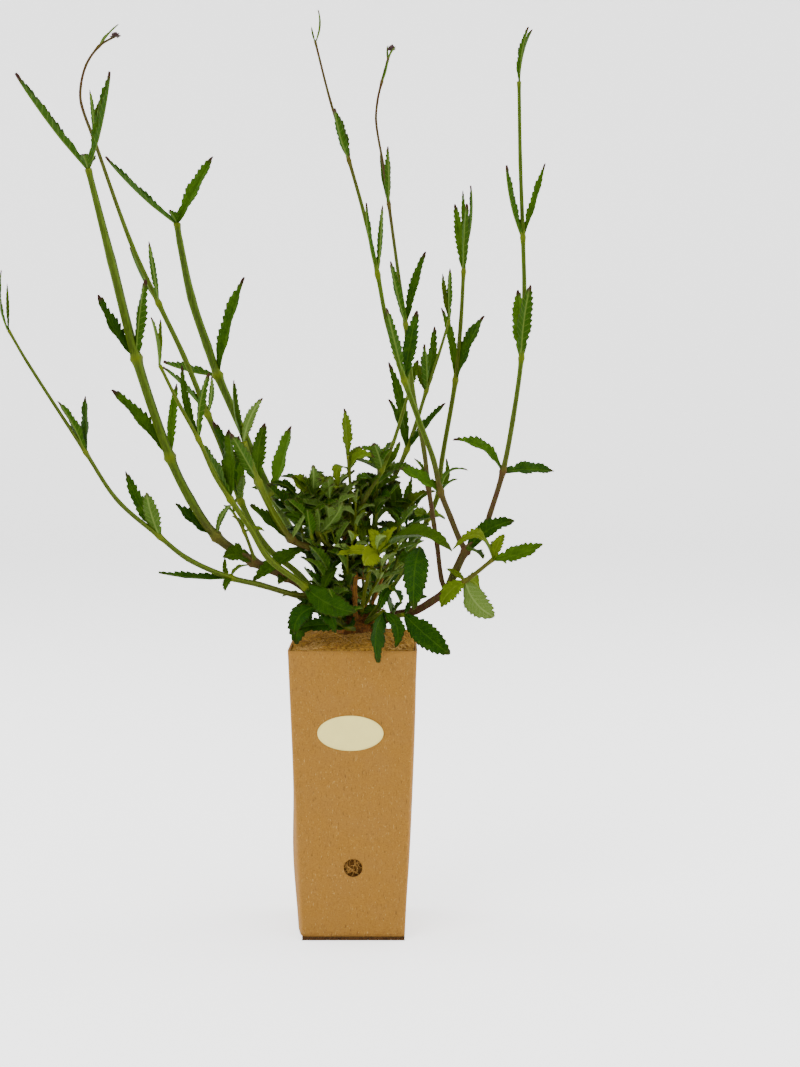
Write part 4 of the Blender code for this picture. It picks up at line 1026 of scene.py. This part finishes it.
def kraft_finish(pot):
    """Brown pressed carton: mottled, with fine dark and pale fibres."""
    tree = Finish("kraft_carton", 0.82, 0.3)
    paper = tree.effect(paper_fibres, 0.8)
    base, fibre = Vector(pot.kraft), Vector(pot.fibre)
    fleck = tree.mottle(620, 1)
    soft = tree.mix(tree.ramp(paper["Mottling"], 0.25, 0.75), base * 0.95, base * 1.05)
    coarse = tree.ramp(tree.mottle(1000, 3, 0.7), 0.3, 0.7)
    soft = tree.mix(coarse, base * 0.81, tree.mix(0.5, soft, base * 1.2))
    soft = tree.coats(
        soft, (tree.ramp(fleck, 0.66, 0.74, 0, 0.5), fibre * 1.6),
        (tree.ramp(fleck, 0.30, 0.24, 0, 0.5), (0.50, 0.28, 0.07)),
        (tree.times(paper["Dark fibres"], 0.9), fibre),
        (tree.times(paper["Pale fibres"], 0.75), (0.55, 0.32, 0.09)))
    return tree.done(soft, paper["Height"], 0.08 * MM, 0.7, tree.ramp(paper["Mottling"], 0.3, 0.7, 0.76, 0.9))


def cut_finish(pot):
    """The raw, darker cut of the board."""
    tree = Finish("raw_board_edge", 0.95, 0.2)
    paper, crumbs = tree.effect(paper_fibres, 1.0), tree.effect(peat_crumbs, 900.0)
    base = Vector(pot.cut)
    soft = tree.mix(tree.ramp(crumbs["Lumps"], 0.35, 0.65), base * 0.5, base * 1.5)
    soft = tree.mix(tree.times(paper["Pale fibres"], 0.6), soft, Vector(pot.kraft) * 0.8)
    return tree.done(soft, crumbs["Height"], 0.4 * MM)


def label_finish(label):
    """Cream label paper."""
    tree = Finish("cream_label", 0.55, 0.4)
    paper = tree.effect(paper_fibres, 0.25)
    base = Vector(label.paper)
    soft = tree.mix(tree.ramp(paper["Mottling"], 0.3, 0.7), base * 0.96, base * 1.03)
    soft = tree.mix(tree.times(paper["Dark fibres"], 0.4), soft, base * 0.7)
    return tree.done(soft, paper["Height"], 0.03 * MM, 0.5)


def soil_finish(soil):
    """Felted brown peat, pale and dry on the lumps and dark in the hollows, and painted darker down the sides
    as shade inside the pot.
    """
    tree = Finish("felted_peat", 1.0, 0.1)
    crumbs, fine = tree.effect(peat_crumbs, 480.0), tree.effect(peat_crumbs, 1700.0)
    paper = tree.effect(paper_fibres, 1.0)
    dark, pale, root = Vector(soil.dark), Vector(soil.pale), Vector(soil.root)
    # Painted shade: the last coat darkens the soil below its top, as inside the pot behind the drain hole.
    soft = tree.coats(
        dark, (tree.ramp(crumbs["Lumps"], 0.36, 0.62), pale),
        (tree.ramp(fine["Lumps"], 0.45, 0.7, 0, 0.7), pale * 0.35),
        (tree.times(fine["Flecks"], 0.5), root),
        (tree.times(paper["Pale fibres"], 0.8), root * 1.2),
        (tree.ramp(tree.height(), SOIL_LEVEL, SOIL_LEVEL - 30 * MM, 0, 0.8), (0.055, 0.016, 0.004)))
    return tree.done(soft, tree.plus(crumbs["Height"], fine["Height"]), 0.9 * MM)


def litter_finish(soil):
    """Threads, roots and crumbs on the soil, each of its own shade."""
    tree = Finish("threads_and_crumbs", 0.9, 0.2)
    shade, = tree.painted("tint")
    grain = tree.mottle(1500, 3)
    dark = Vector(soil.dark)
    soft = tree.coats(dark * 1.6, (shade[0], Vector(soil.root) * 1.3), (shade[1], (0.22, 0.08, 0.012)),
                      (tree.ramp(grain, 0.35, 0.7, 0, 0.55), dark))
    return tree.done(soft, grain, 0.3 * MM)


def bark_finish(plant):
    """Rusty, fibrous bark of the crown."""
    tree = Finish("fibrous_bark", 0.9, 0.2)
    crumbs = tree.effect(peat_crumbs, 380.0)
    strands = tree.streaks(1300, 3, (0.2, 0.3, 0), 0.12)
    base = Vector(plant.bark)
    soft = tree.coats(base * 0.3, (tree.ramp(crumbs["Lumps"], 0.35, 0.65), base),
                      (tree.ramp(strands, 0.5, 0.72, 0, 0.8), Vector(plant.wood) * 0.8),
                      (tree.times(crumbs["Flecks"], 0.35), base * 0.15))
    return tree.done(soft, tree.plus(strands, crumbs["Height"]), 0.7 * MM)


def leaf_finish(plant):
    """A green leaf: dark above with sunk veins, pale under, with purple brown teeth and tip."""
    tree = Finish("verbena_leaf", 0.5, 0.045)
    place, share, tint = tree.painted("place", "share", "tint")
    dark, light = Vector(plant.leaf_dark), Vector(plant.leaf_light)
    across = tree.calc("ABSOLUTE", place[0])
    slant = tree.calc("SUBTRACT", place[1], tree.times(across, VEIN_SLANT))
    phase = tree.calc("FRACT", tree.calc("DIVIDE", slant, tint[2]))
    away = tree.calc("ABSOLUTE", tree.calc("SUBTRACT", phase, 0.5))
    vein = tree.most(tree.times(tree.ramp(away, 0.41, 0.49), 0.75), tree.ramp(across, 0.75, 0.3))
    net = tree.node("ShaderNodeTexVoronoi", {"Vector": tree.where, "Scale": 1050.0},
                    feature="DISTANCE_TO_EDGE")
    mesh = tree.ramp(net.outputs[0], 0.0, 0.16, 1, 0)
    # Between the dark and light leaf colours by the leaf's tone, which holds the painted shade of low leaves,
    # and by soft mottling.
    lit = tree.plus(tree.times(tint[1], 0.45), tree.times(tree.mottle(170, 3), 0.6))
    green = tree.coats(dark, (tree.ramp(lit, 0.25, 0.85), light), (tree.times(mesh, 0.22), light * 1.3),
                       (tree.times(vein, 0.32), (0.055, 0.117, 0.008)))
    under = tree.mix(tree.times(vein, 0.6), Vector(plant.leaf_under), (0.13, 0.19, 0.03))
    young = tree.mix(tree.times(vein, 0.4), Vector(plant.leaf_young), (0.24, 0.28, 0.03))
    pale = tree.mix(tree.times(tree.most(vein, mesh), 0.5), Vector(plant.leaf_pale), (0.34, 0.44, 0.16))
    grown, fresh = tree.mix(place[2], under, green), tree.mix(place[2], pale, young)
    teeth = tree.times(tree.ramp(share[0], 0.86, 1.0), tree.ramp(share[1], 0.25, 0.6, 0, 0.45))
    tip = tree.times(tree.ramp(share[1], 0.87, 0.97), tree.ramp(tree.height(), 0.29, 0.36, 0.3, 0.95))
    stained = tree.times(tree.most(teeth, tip), tree.ramp(tint[0], 0.3, 1.0, 1, 0.25))
    skin = tree.coats(grown, (tree.times(tint[0], 0.85), fresh), (stained, Vector(plant.stain) * 0.8))
    down = tree.effect(plant_down, 1.0)
    sunk = tree.times(tree.most(vein, tree.times(mesh, 0.5)), tree.ramp(place[2], 0.4, 0.6, 0.8, -1))
    relief = tree.plus(sunk, tree.times(down["Height"], 0.5))
    return tree.done(skin, relief, 0.22 * MM, 0.9, tree.ramp(down["Hairs"], 0, 1, 0.44, 0.7))


def stem_finish(plant):
    """A ridged stem: green or stained purple brown, or woody where it is old."""
    tree = Finish("verbena_stem", 0.5, 0.07)
    place, share, tint = tree.painted("place", "share", "tint")
    base, young = Vector(plant.stem_green), Vector(plant.leaf_young)
    streaks = tree.streaks(1500, 3, (0, 0, 0), 0.1)
    ridge = tree.ramp(place[0], -0.2, 1.0)
    green = tree.coats(base * 0.62, (ridge, base * 1.35), (tree.ramp(streaks, 0.4, 0.7, 0, 0.5), base * 1.7),
                       (tree.times(tint[0], 0.6), young * 0.9), (tree.times(share[0], 0.55), young * 0.8))
    edge = tree.plus(tree.times(ridge, 0.25), tree.times(tree.mottle(240, 3), 0.7))
    purple = tree.times(share[2], tree.ramp(edge, 0.15, 0.6, 0.6, 1))
    stained = tree.mix(streaks, Vector(plant.stain), (0.086, 0.021, 0.018))
    wood = tree.mix(tree.ramp(streaks, 0.35, 0.68), Vector(plant.bark) * 0.5, Vector(plant.wood))
    skin = tree.coats(green, (purple, stained), (tint[1], wood))
    down = tree.effect(plant_down, 1.0)
    relief = tree.plus(tree.times(streaks, 0.8), tree.times(down["Height"], 0.5))
    return tree.done(skin, relief, 0.3 * MM, 0.9, tree.ramp(down["Hairs"], 0, 1, 0.45, 0.72))


def bud_finish(plant):
    """Dark purple brown buds with paler ribs."""
    tree = Finish("bud_scales", 0.7, 0.3, 0.1)
    place, share = tree.painted("place", "share")
    base = Vector(plant.stain)
    skin = tree.coats(base * 0.5, (tree.ramp(place[0], -0.3, 1), base * 1.3),
                      (tree.ramp(share[1], 0.5, 0.0, 0, 0.45), Vector(plant.stem_green)))
    return tree.done(skin, tree.mottle(4000), 0.1 * MM)


def plant_finishes(plant):
    """The four finishes that every leafy piece holds, made once."""
    names = ("verbena_stem", "verbena_leaf", "fibrous_bark", "bud_scales")
    if names[0] not in bpy.data.materials:
        return [make(plant) for make in (stem_finish, leaf_finish, bark_finish, bud_finish)]
    return [bpy.data.materials[name] for name in names]


# The operators, one for each piece or group of like pieces.


class MakePot(bpy.types.Operator):
    """Build the folded carton pot with its rounded folds, cut rim and drain hole."""

    bl_idname = "verbena.make_pot"
    bl_label = "Carton pot"

    def execute(self, context):
        pot = context.scene.verbena_pot
        skin = Skin()
        heights = [POT_FLOOR + (POT_HEIGHT - POT_FLOOR) * k / POT_ROWS for k in range(POT_ROWS + 1)]
        outer = [pot_ring(skin, z, 0, pot) for z in heights]
        inner = [pot_ring(skin, max(z, POT_FLOOR + pot.board), pot.board, pot) for z in heights]
        for low, high in zip(outer, outer[1:]):
            skin.band(low, high, 0)
        for low, high in zip(inner[1:], inner[2:]):
            skin.band(high, low, 0)
        skin.band(outer[-1], inner[-1], 0, False)
        skin.face(tuple(reversed(outer[0])), 0, False)
        skin.face(tuple(inner[1]), 0, False)
        piece = skin.piece("folded_pot", [kraft_finish(pot), cut_finish(pot)], "kraft_board", "carton_pot")
        cut_drain(piece)
        return {"FINISHED"}


def pot_ring(skin, z, inset, pot):
    """A ring of points round the pot at a height, with its folds rounded, and its rim a little uneven."""
    ring = []
    for side in range(4):
        for k in range(POT_COLUMNS):
            share = -1 + 2 * (k + 0.5) / POT_COLUMNS
            share = math.copysign(1 - (1 - abs(share)) ** 1.25, share)
            across, along = square_point(side, share)
            x, y = wall_point(across, along, z, inset)
            corner = wall_point(math.copysign(1, across), math.copysign(1, along), z, inset)
            radius = max(pot.fold - inset * 0.5, 0.4 * MM)
            near = max(0, 1 - math.hypot(x - corner[0], y - corner[1]) / (2.2 * radius))
            pull = radius * 0.42 * near ** 1.5
            x -= math.copysign(pull, x)
            y -= math.copysign(pull, y)
            cut = pot.fray * abs(noise.noise(Vector((x, y, 0)) * 180)) * 2 if z > POT_HEIGHT - 0.1 * MM else 0
            ring.append(skin.point((x, y, z - cut)))
    return ring


def cut_drain(piece):
    """Cut the round drain hole through the front wall, with the raw board showing in it."""
    shape = bmesh.new()
    bmesh.ops.create_cone(shape, cap_ends=True, segments=48, radius1=DRAIN_DIAMETER / 2,
                          radius2=DRAIN_DIAMETER / 2, depth=10 * MM)
    bmesh.ops.rotate(shape, matrix=Matrix.Rotation(math.radians(90), 3, "X"), verts=shape.verts)
    wall = half_width(DRAIN_HEIGHT / POT_HEIGHT)
    bmesh.ops.translate(shape, vec=(0, -wall, DRAIN_HEIGHT), verts=shape.verts)
    punch = link_object("drain_punch", mesh_of("drain_punch", shape))
    punch.data.materials.append(piece.data.materials[1])
    cut = piece.modifiers.new("Drain", "BOOLEAN")
    cut.operation = "DIFFERENCE"
    cut.object = punch
    cut.material_mode = "TRANSFER"
    graph = bpy.context.evaluated_depsgraph_get()
    mesh = bpy.data.meshes.new_from_object(piece.evaluated_get(graph))
    piece.modifiers.clear()
    piece.data = mesh
    bpy.data.objects.remove(punch, do_unlink=True)


class MakeFlap(bpy.types.Operator):
    """Build the bottom flap, whose raw edge shows under the front wall."""

    bl_idname = "verbena.make_flap"
    bl_label = "Bottom flap"

    def execute(self, context):
        width, depth = POT_BASE / 2 - FLAP_INSET, POT_BASE / 2
        skin = Skin()
        rings = []
        for level in range(6):
            ring = []
            for side in range(4):
                for k in range(FLAP_COLUMNS):
                    across, along = square_point(side, -1 + 2 * k / FLAP_COLUMNS)
                    worn = 0.5 * MM * abs(noise.noise(Vector((across * 30, along * 30, level * 0.7))))
                    worn += 0.3 * MM if level in (2, 3) else 0
                    ring.append(skin.point((across * (width - worn), along * (depth - worn),
                                            FLAP_THICKNESS * level / 5)))
            rings.append(ring)
        skin.tube(rings, 0)
        skin.piece("bottom_flap", [bpy.data.materials["raw_board_edge"]], "cut_board", "base_flap")
        return {"FINISHED"}


class MakeLabel(bpy.types.Operator):
    """Build the thin oval label, a little loose at one end."""

    bl_idname = "verbena.make_label"
    bl_label = "Oval label"

    def execute(self, context):
        label = context.scene.verbena_label
        lean = math.atan((POT_TOP - POT_BASE) / 2 / POT_HEIGHT)
        x, z = LABEL_CENTRE
        centre = Vector((x, -half_width((z - POT_FLOOR) / (POT_HEIGHT - POT_FLOOR)), z))
        up = Vector((0, -math.sin(lean), math.cos(lean)))
        out = Vector((0, -math.cos(lean), -math.sin(lean)))
        skin = Skin()
        faces = []
        for level in (0, 1):
            rings = []
            for k in range(1, LABEL_RINGS + 1):
                ring = []
                for n in range(LABEL_SIDES):
                    angle = math.tau * n / LABEL_SIDES
                    reach = k / LABEL_RINGS
                    across = math.cos(angle) * LABEL_WIDTH / 2 * reach
                    rise = math.sin(angle) * LABEL_HEIGHT / 2 * reach
                    loose = max(0, reach - 0.72) / 0.28 * max(0, math.cos(angle - 0.5)) ** 3
                    stand = LABEL_GAP + label.lift * loose ** 2 + label.thickness * level
                    ring.append(skin.point(centre + Vector((across, 0, 0)) + up * rise + out * stand))
                rings.append(ring)
            faces.append(rings)
        back, front = faces
        for low, high in zip(back, back[1:]):
            skin.band(low, high, 0)
        for low, high in zip(front, front[1:]):
            skin.band(high, low, 0)
        skin.face(tuple(reversed(back[0])), 0)
        skin.face(tuple(front[0]), 0)
        skin.band(back[-1], front[-1], 0, False)
        skin.piece("oval_label", [label_finish(label)], "label_paper", "name_label")
        return {"FINISHED"}


def soil_top(x, y, grain):
    """Height of the soil: full to the rim at the back, with a mound round the crown, and felted lumps."""
    away = (Vector((x, y)) - Vector(MOUND_CENTRE)).length / MOUND_SPREAD
    back = min(max((y + 20 * MM) / (55 * MM), 0), 1)
    coarse = noise.fractal(Vector((x, y, 0.3)) * 130, 0.8, 2.1, 3)
    fine = noise.noise(Vector((x, y, 1.7)) * 520)
    mound = MOUND_HEIGHT * 1.15 * math.exp(-away ** 2 / 2)
    rise = BACK_RISE * back * back * (3 - 2 * back)
    return SOIL_LEVEL + mound + rise + grain * (1.1 * coarse + 0.55 * fine)


class MakeSoil(bpy.types.Operator):
    """Build the root ball of felted soil, with its mound, and its side behind the drain hole."""

    bl_idname = "verbena.make_soil"
    bl_label = "Soil"

    def execute(self, context):
        soil = context.scene.verbena_soil
        skin = Skin()
        shares = [-1 + 2 * k / SOIL_CELLS for k in range(SOIL_CELLS + 1)]
        top = []
        for across in shares:
            row = []
            for along in shares:
                x, y = wall_point(across, along, SOIL_LEVEL, SOIL_INSET_TOP)
                row.append(skin.point((x, y, soil_top(x, y, soil.grain))))
            top.append(row)
        for row, after in zip(top, top[1:]):
            for j in range(SOIL_CELLS):
                skin.face((row[j], after[j], after[j + 1], row[j + 1]), 0)
        there, back = range(SOIL_CELLS), range(SOIL_CELLS, 0, -1)
        border = [(i, 0) for i in there] + [(SOIL_CELLS, j) for j in there]
        border += [(i, SOIL_CELLS) for i in back] + [(0, j) for j in back]
        rings = [[top[i][j] for i, j in border]]
        for z in [SOIL_LEVEL - 4 * MM * k for k in range(1, SOIL_ROWS)] + [POT_FLOOR + SOIL_INSET_TOP]:
            ring = []
            for i, j in border:
                x, y = wall_point(shares[i], shares[j], z, SOIL_INSET)
                dent = 0.9 * MM * noise.fractal(Vector((x, y, z)) * 240, 0.8, 2.1, 3)
                ring.append(skin.point((x * (1 + dent * 8), y + (abs(dent) if y < 0 else -abs(dent)), z)))
            rings.append(ring)
        for high, low in zip(rings, rings[1:]):
            skin.band(low, high, 0)
        skin.face(tuple(reversed(rings[-1])), 0)
        skin.piece("felted_soil", [soil_finish(soil)], "soil", "soil")
        return {"FINISHED"}


class MakeLitter(bpy.types.Operator):
    """Scatter fibres and crumbs on the soil, and lay the roots that show in the drain hole."""

    bl_idname = "verbena.make_litter"
    bl_label = "Threads, crumbs and roots"

    def execute(self, context):
        soil = context.scene.verbena_soil
        draw = random.Random(7)
        skin = Skin()
        for k in range(soil.threads):
            x, y = draw.uniform(-0.039, 0.039), draw.uniform(-0.039, 0.039)
            pale = k < len(PALE_TUFTS) * TUFT_FIBRES
            if pale:
                left, right, near, far = PALE_TUFTS[k % len(PALE_TUFTS)]
                x, y = draw.uniform(left, right) * MM, draw.uniform(near, far) * MM
            heading, bend = draw.uniform(0, math.tau), draw.uniform(-0.5, 0.5)
            step = draw.uniform(0.6, 2.4) * MM
            places = []
            while len(places) < 7 and max(abs(x), abs(y)) <= THREADS_WITHIN:
                places.append(Vector((x, y, soil_top(x, y, soil.grain) + draw.uniform(0.0, 0.9) * MM)))
                heading += bend
                x += math.cos(heading) * step
                y += math.sin(heading) * step
            if len(places) > 2:
                shade = (draw.random() ** (0.2 if pale else 1.2), draw.random() * (0.1 if pale else 0.6), 0)
                add_thread(skin, places, draw.uniform(0.1, 0.26) * MM, 0, 4, shade)
        for _ in range(soil.crumbs):
            x, y = draw.uniform(-0.0395, 0.0395), draw.uniform(-0.0395, 0.0395)
            size = draw.uniform(0.4, 1.3) * MM
            add_crumb(skin, Vector((x, y, soil_top(x, y, soil.grain) + size * 0.3)), size, draw)
        add_drain_roots(skin, random.Random(3))
        skin.piece("soil_threads", [litter_finish(soil)], "soil")
        return {"FINISHED"}


def add_drain_roots(skin, draw):
    """Pale curved roots pressed against the inside of the drain hole."""
    wall = half_width(DRAIN_HEIGHT / POT_HEIGHT) - 2.4 * MM
    for _ in range(DRAIN_ROOTS):
        x, z = draw.uniform(-7, 7) * MM, DRAIN_HEIGHT + draw.uniform(-7, 7) * MM
        heading, bend = draw.uniform(0, math.tau), draw.uniform(-0.55, 0.55)
        places = []
        for _ in range(9):
            places.append(Vector((x, -wall + draw.uniform(-0.2, 0.25) * MM, z)))
            heading += bend
            x += math.cos(heading) * 1.3 * MM
            z += math.sin(heading) * 1.3 * MM
        add_thread(skin, places, draw.uniform(0.16, 0.34) * MM, 0, 6, (draw.uniform(0.1, 0.6), 0.45, 0))


def add_crumb(skin, centre, size, draw):
    """A small angular crumb."""
    shade = (draw.random() ** 2, draw.random() * 0.8, 0)
    turn = Matrix.Rotation(draw.uniform(0, math.tau), 3, Vector((draw.random(), draw.random(), 1)))
    stretch = Vector((draw.uniform(0.6, 1.5), draw.uniform(0.5, 1), draw.uniform(0.4, 0.9)))
    rings = []
    for level, reach in ((-1, 0.45), (-0.4, 1), (0.4, 0.9), (1, 0.4)):
        ring = []
        for n in range(6):
            angle = math.tau * n / 6
            rough = reach * draw.uniform(0.8, 1.15)
            local = Vector((math.cos(angle) * rough, math.sin(angle) * rough, level)) * size / 2
            local = Vector(a * b for a, b in zip(local, stretch))
            ring.append(skin.point(centre + turn @ local, tint=shade))
        rings.append(ring)
    skin.tube(rings, 0)


class MakeCrown(bpy.types.Operator):
    """Build the rusty crown with its stubs, fibres, young shoots and lowest leaves."""

    bl_idname = "verbena.make_crown"
    bl_label = "Crown"

    def execute(self, context):
        plant = context.scene.verbena_plant
        draw = random.Random(11)
        skin = Skin()
        add_crown_body(skin)
        grow(skin, CROWN_GROWTH, LOOKS["crown"], draw, plant)
        add_crown_strands(skin, draw)
        skin.piece("woody_crown", plant_finishes(plant), "bark", "crown")
        return {"FINISHED"}


def add_crown_body(skin):
    """The lumpy body of the crown, furrowed and knotted."""
    rings = []
    for k in range(1, CROWN_ROWS):
        ring = []
        for n in range(CROWN_SIDES):
            bearing = math.tau * n / CROWN_SIDES
            unit = direction(bearing, -math.pi / 2 + math.pi * k / CROWN_ROWS)
            lump = 1 + 0.07 * math.sin(3 * bearing + 1) * (1 - abs(unit.z))
            point = CROWN_CENTRE + Vector(a * b * lump for a, b in zip(unit, CROWN_RADII))
            rough = noise.fractal(Vector((point.x * 1.6, point.y * 1.6, point.z * 0.6)) * 170, 0.7, 2.2, 4)
            ring.append(skin.point(point + unit * 0.0016 * (rough - 0.25)))
        rings.append(ring)
    skin.tube(rings, BARK)


def add_crown_strands(skin, draw):
    """Dry strands that stand and lie round the crown, and thin twigs of its old growth."""
    for _ in range(90):
        bearing, reach = draw.uniform(0, math.tau), draw.uniform(3, 17)
        place = Vector((3 + math.cos(bearing) * reach, -2 + math.sin(bearing) * reach * 0.9,
                        draw.uniform(222, 229) - reach * 0.35)) * MM
        way = Vector((math.cos(bearing), math.sin(bearing), draw.uniform(0.1, 2.6))).normalized()
        sway = Vector((draw.uniform(-1, 1), draw.uniform(-1, 1), draw.uniform(-0.6, 0.2))) * 0.22
        add_strand(skin, draw, place, way, sway, 7, (1.2, 2.6), (0.15, 0.5), 5)
    hosts = [place for stem in (CROWN_TWIG, CROWN_SHOOT) for place, _, _ in stem_steps(stem.joints)]
    for _ in range(12):
        place = draw.choice(hosts[len(hosts) // 5:]).copy()
        bearing = draw.uniform(0, math.tau)
        way = Vector((math.cos(bearing), math.sin(bearing), draw.uniform(0, 1.2))).normalized()
        sway = Vector((draw.uniform(-1, 1), draw.uniform(-1, 1), draw.uniform(-1, 0.6))) * 0.35
        add_strand(skin, draw, place, way, sway, 8, (1.6, 2.8), (0.3, 0.5), 6)


class MakeStems(bpy.types.Operator):
    """Build each stem with its ridges, joints, toothed leaves and buds."""

    bl_idname = "verbena.make_stems"
    bl_label = "Leafy stems"

    def execute(self, context):
        plant = context.scene.verbena_plant
        for number, (name, stems) in enumerate(SPRAYS.items()):
            draw = random.Random(100 + number)
            skin = Skin()
            grow(skin, stems, LOOKS[name], draw, plant)
            if name in BUDDED:
                stem, reach = BUDDED[name]
                add_bud_head(skin, stem.joints[-1], draw, reach)
            skin.piece(name.replace("stem_", "spray_"), plant_finishes(plant), "leafy_stem", name)
        return {"FINISHED"}


class MakeMiddle(bpy.types.Operator):
    """Build the short leafy growth that fills the middle of the plant."""

    bl_idname = "verbena.make_middle"
    bl_label = "Middle growth"

    def execute(self, context):
        plant = context.scene.verbena_plant
        draw = random.Random(23)
        skins = {"left": Skin(), "right": Skin()}
        hosts = SPRAYS["stem_centre"] + SPRAYS["stem_back_shoot"] + CROWN_GROWTH
        places = [place for stem in hosts for place, _, _ in stem_steps(stem.joints)]
        for x, y, z, heading, rise, length, leaf_length, youth in MIDDLE_SHOOTS:
            foot = Vector((x, y, z))
            carrier = min(places, key=lambda place: (place / MM - foot).length) / MM
            stem = middle_shoot(draw, carrier, foot, heading, rise, length, leaf_length)
            skin = skins["left" if x < MIDDLE_SPLIT else "right"]
            grow(skin, [stem], [Look([(0, 0.4), (1, 0.15)], youth, 0)], draw, plant)
        for side, skin in skins.items():
            skin.piece("middle_growth_" + side, plant_finishes(plant), "leafy_stem")
        return {"FINISHED"}


class MakeStage(bpy.types.Operator):
    """Build the seamless backdrop, the camera and the soft lights."""

    bl_idname = "verbena.make_stage"
    bl_label = "Studio"

    def execute(self, context):
        scene = context.scene
        studio = scene.verbena_studio
        add_backdrop(studio)
        data = bpy.data.cameras.new("camera")
        data.lens = studio.focal
        scene.camera = link_object("camera", data)
        scene.camera.location = studio.camera
        scene.camera.rotation_euler.x = math.radians(90) - studio.pitch
        for name, place, size, power in LIGHTS:
            data = bpy.data.lights.new(name, "AREA")
            data.shape = "DISK"
            data.size = size
            data.energy = getattr(studio, power)
            light = link_object(name, data)
            light.location = place
            light.rotation_euler = (LIT_PLACE - Vector(place)).to_track_quat("-Z", "Y").to_euler()
        scene.world = scene.world or bpy.data.worlds.new("studio_sky")
        scene.world.use_nodes = True
        sky = scene.world.node_tree.nodes["Background"]
        sky.inputs["Color"].default_value = (1, 1, 1, 1)
        sky.inputs["Strength"].default_value = studio.sky
        return {"FINISHED"}


def add_backdrop(studio):
    """A floor that curves up into a round wall and glows a little to the camera."""
    profile = [(radius, 0) for radius in (0, 0.3, 0.8, 1.5, 2.2, 3.0)]
    profile += [(3.0 + math.sin(a), 1 - math.cos(a)) for a in (math.pi / 2 * k / 12 for k in range(1, 13))]
    profile += [(4.0, 2.2), (4.0, 3.4)]
    shape = bmesh.new()
    points = [shape.verts.new((radius, 0, height - 0.2 * MM)) for radius, height in profile]
    edges = [shape.edges.new(pair) for pair in zip(points, points[1:])]
    bmesh.ops.spin(shape, geom=points + edges, cent=(0, 0, 0), axis=(0, 0, 1), angle=math.tau, steps=96,
                   use_merge=True)
    bmesh.ops.remove_doubles(shape, verts=shape.verts, dist=0.1 * MM)
    bmesh.ops.recalc_face_normals(shape, faces=shape.faces)
    for face in shape.faces:
        face.smooth = True
    obj = link_object("backdrop", mesh_of("backdrop", shape))
    tree = Finish("backdrop_paper", 0.9, 0.2)
    base = Vector(studio.backdrop)
    tree.feed(tree.shader, "Base Color", tree.mix(tree.mottle(3), base * 0.985, base))
    seen = tree.node("ShaderNodeLightPath", {}).outputs["Is Camera Ray"]
    tree.feed(tree.shader, "Emission Color", (1, 1, 1))
    tree.feed(tree.shader, "Emission Strength", tree.times(seen, studio.glow))
    obj.data.materials.append(tree.material)


OPERATORS = (MakePot, MakeFlap, MakeLabel, MakeSoil, MakeLitter, MakeCrown, MakeStems, MakeMiddle, MakeStage)
SETTINGS = {
    "verbena_pot": PotSettings,
    "verbena_label": LabelSettings,
    "verbena_soil": SoilSettings,
    "verbena_plant": PlantSettings,
    "verbena_studio": StudioSettings,
}


class VerbenaPanel(bpy.types.Panel):
    """The buttons and settings of the verbena."""

    bl_idname = "VIEW3D_PT_verbena"
    bl_label = "Verbena in a carton pot"
    bl_space_type = "VIEW_3D"
    bl_region_type = "UI"
    bl_category = "Verbena"

    def draw(self, context):
        for operator in OPERATORS:
            self.layout.operator(operator.bl_idname)
        for name in SETTINGS:
            group = getattr(context.scene, name)
            box = self.layout.box()
            for key in group.__annotations__:
                box.prop(group, key)


def register():
    for made in (*SETTINGS.values(), *OPERATORS, VerbenaPanel):
        bpy.utils.register_class(made)
    for name, group in SETTINGS.items():
        setattr(bpy.types.Scene, name, PointerProperty(type=group))


def unregister():
    for name in SETTINGS:
        delattr(bpy.types.Scene, name)
    for made in reversed((*SETTINGS.values(), *OPERATORS, VerbenaPanel)):
        bpy.utils.unregister_class(made)


def main():
    """Register the add-on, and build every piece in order."""
    register()
    bpy.ops.verbena.make_pot()
    bpy.ops.verbena.make_flap()
    bpy.ops.verbena.make_label()
    bpy.ops.verbena.make_soil()
    bpy.ops.verbena.make_litter()
    bpy.ops.verbena.make_crown()
    bpy.ops.verbena.make_stems()
    bpy.ops.verbena.make_middle()
    bpy.ops.verbena.make_stage()


if __name__ == "__main__":
    main()
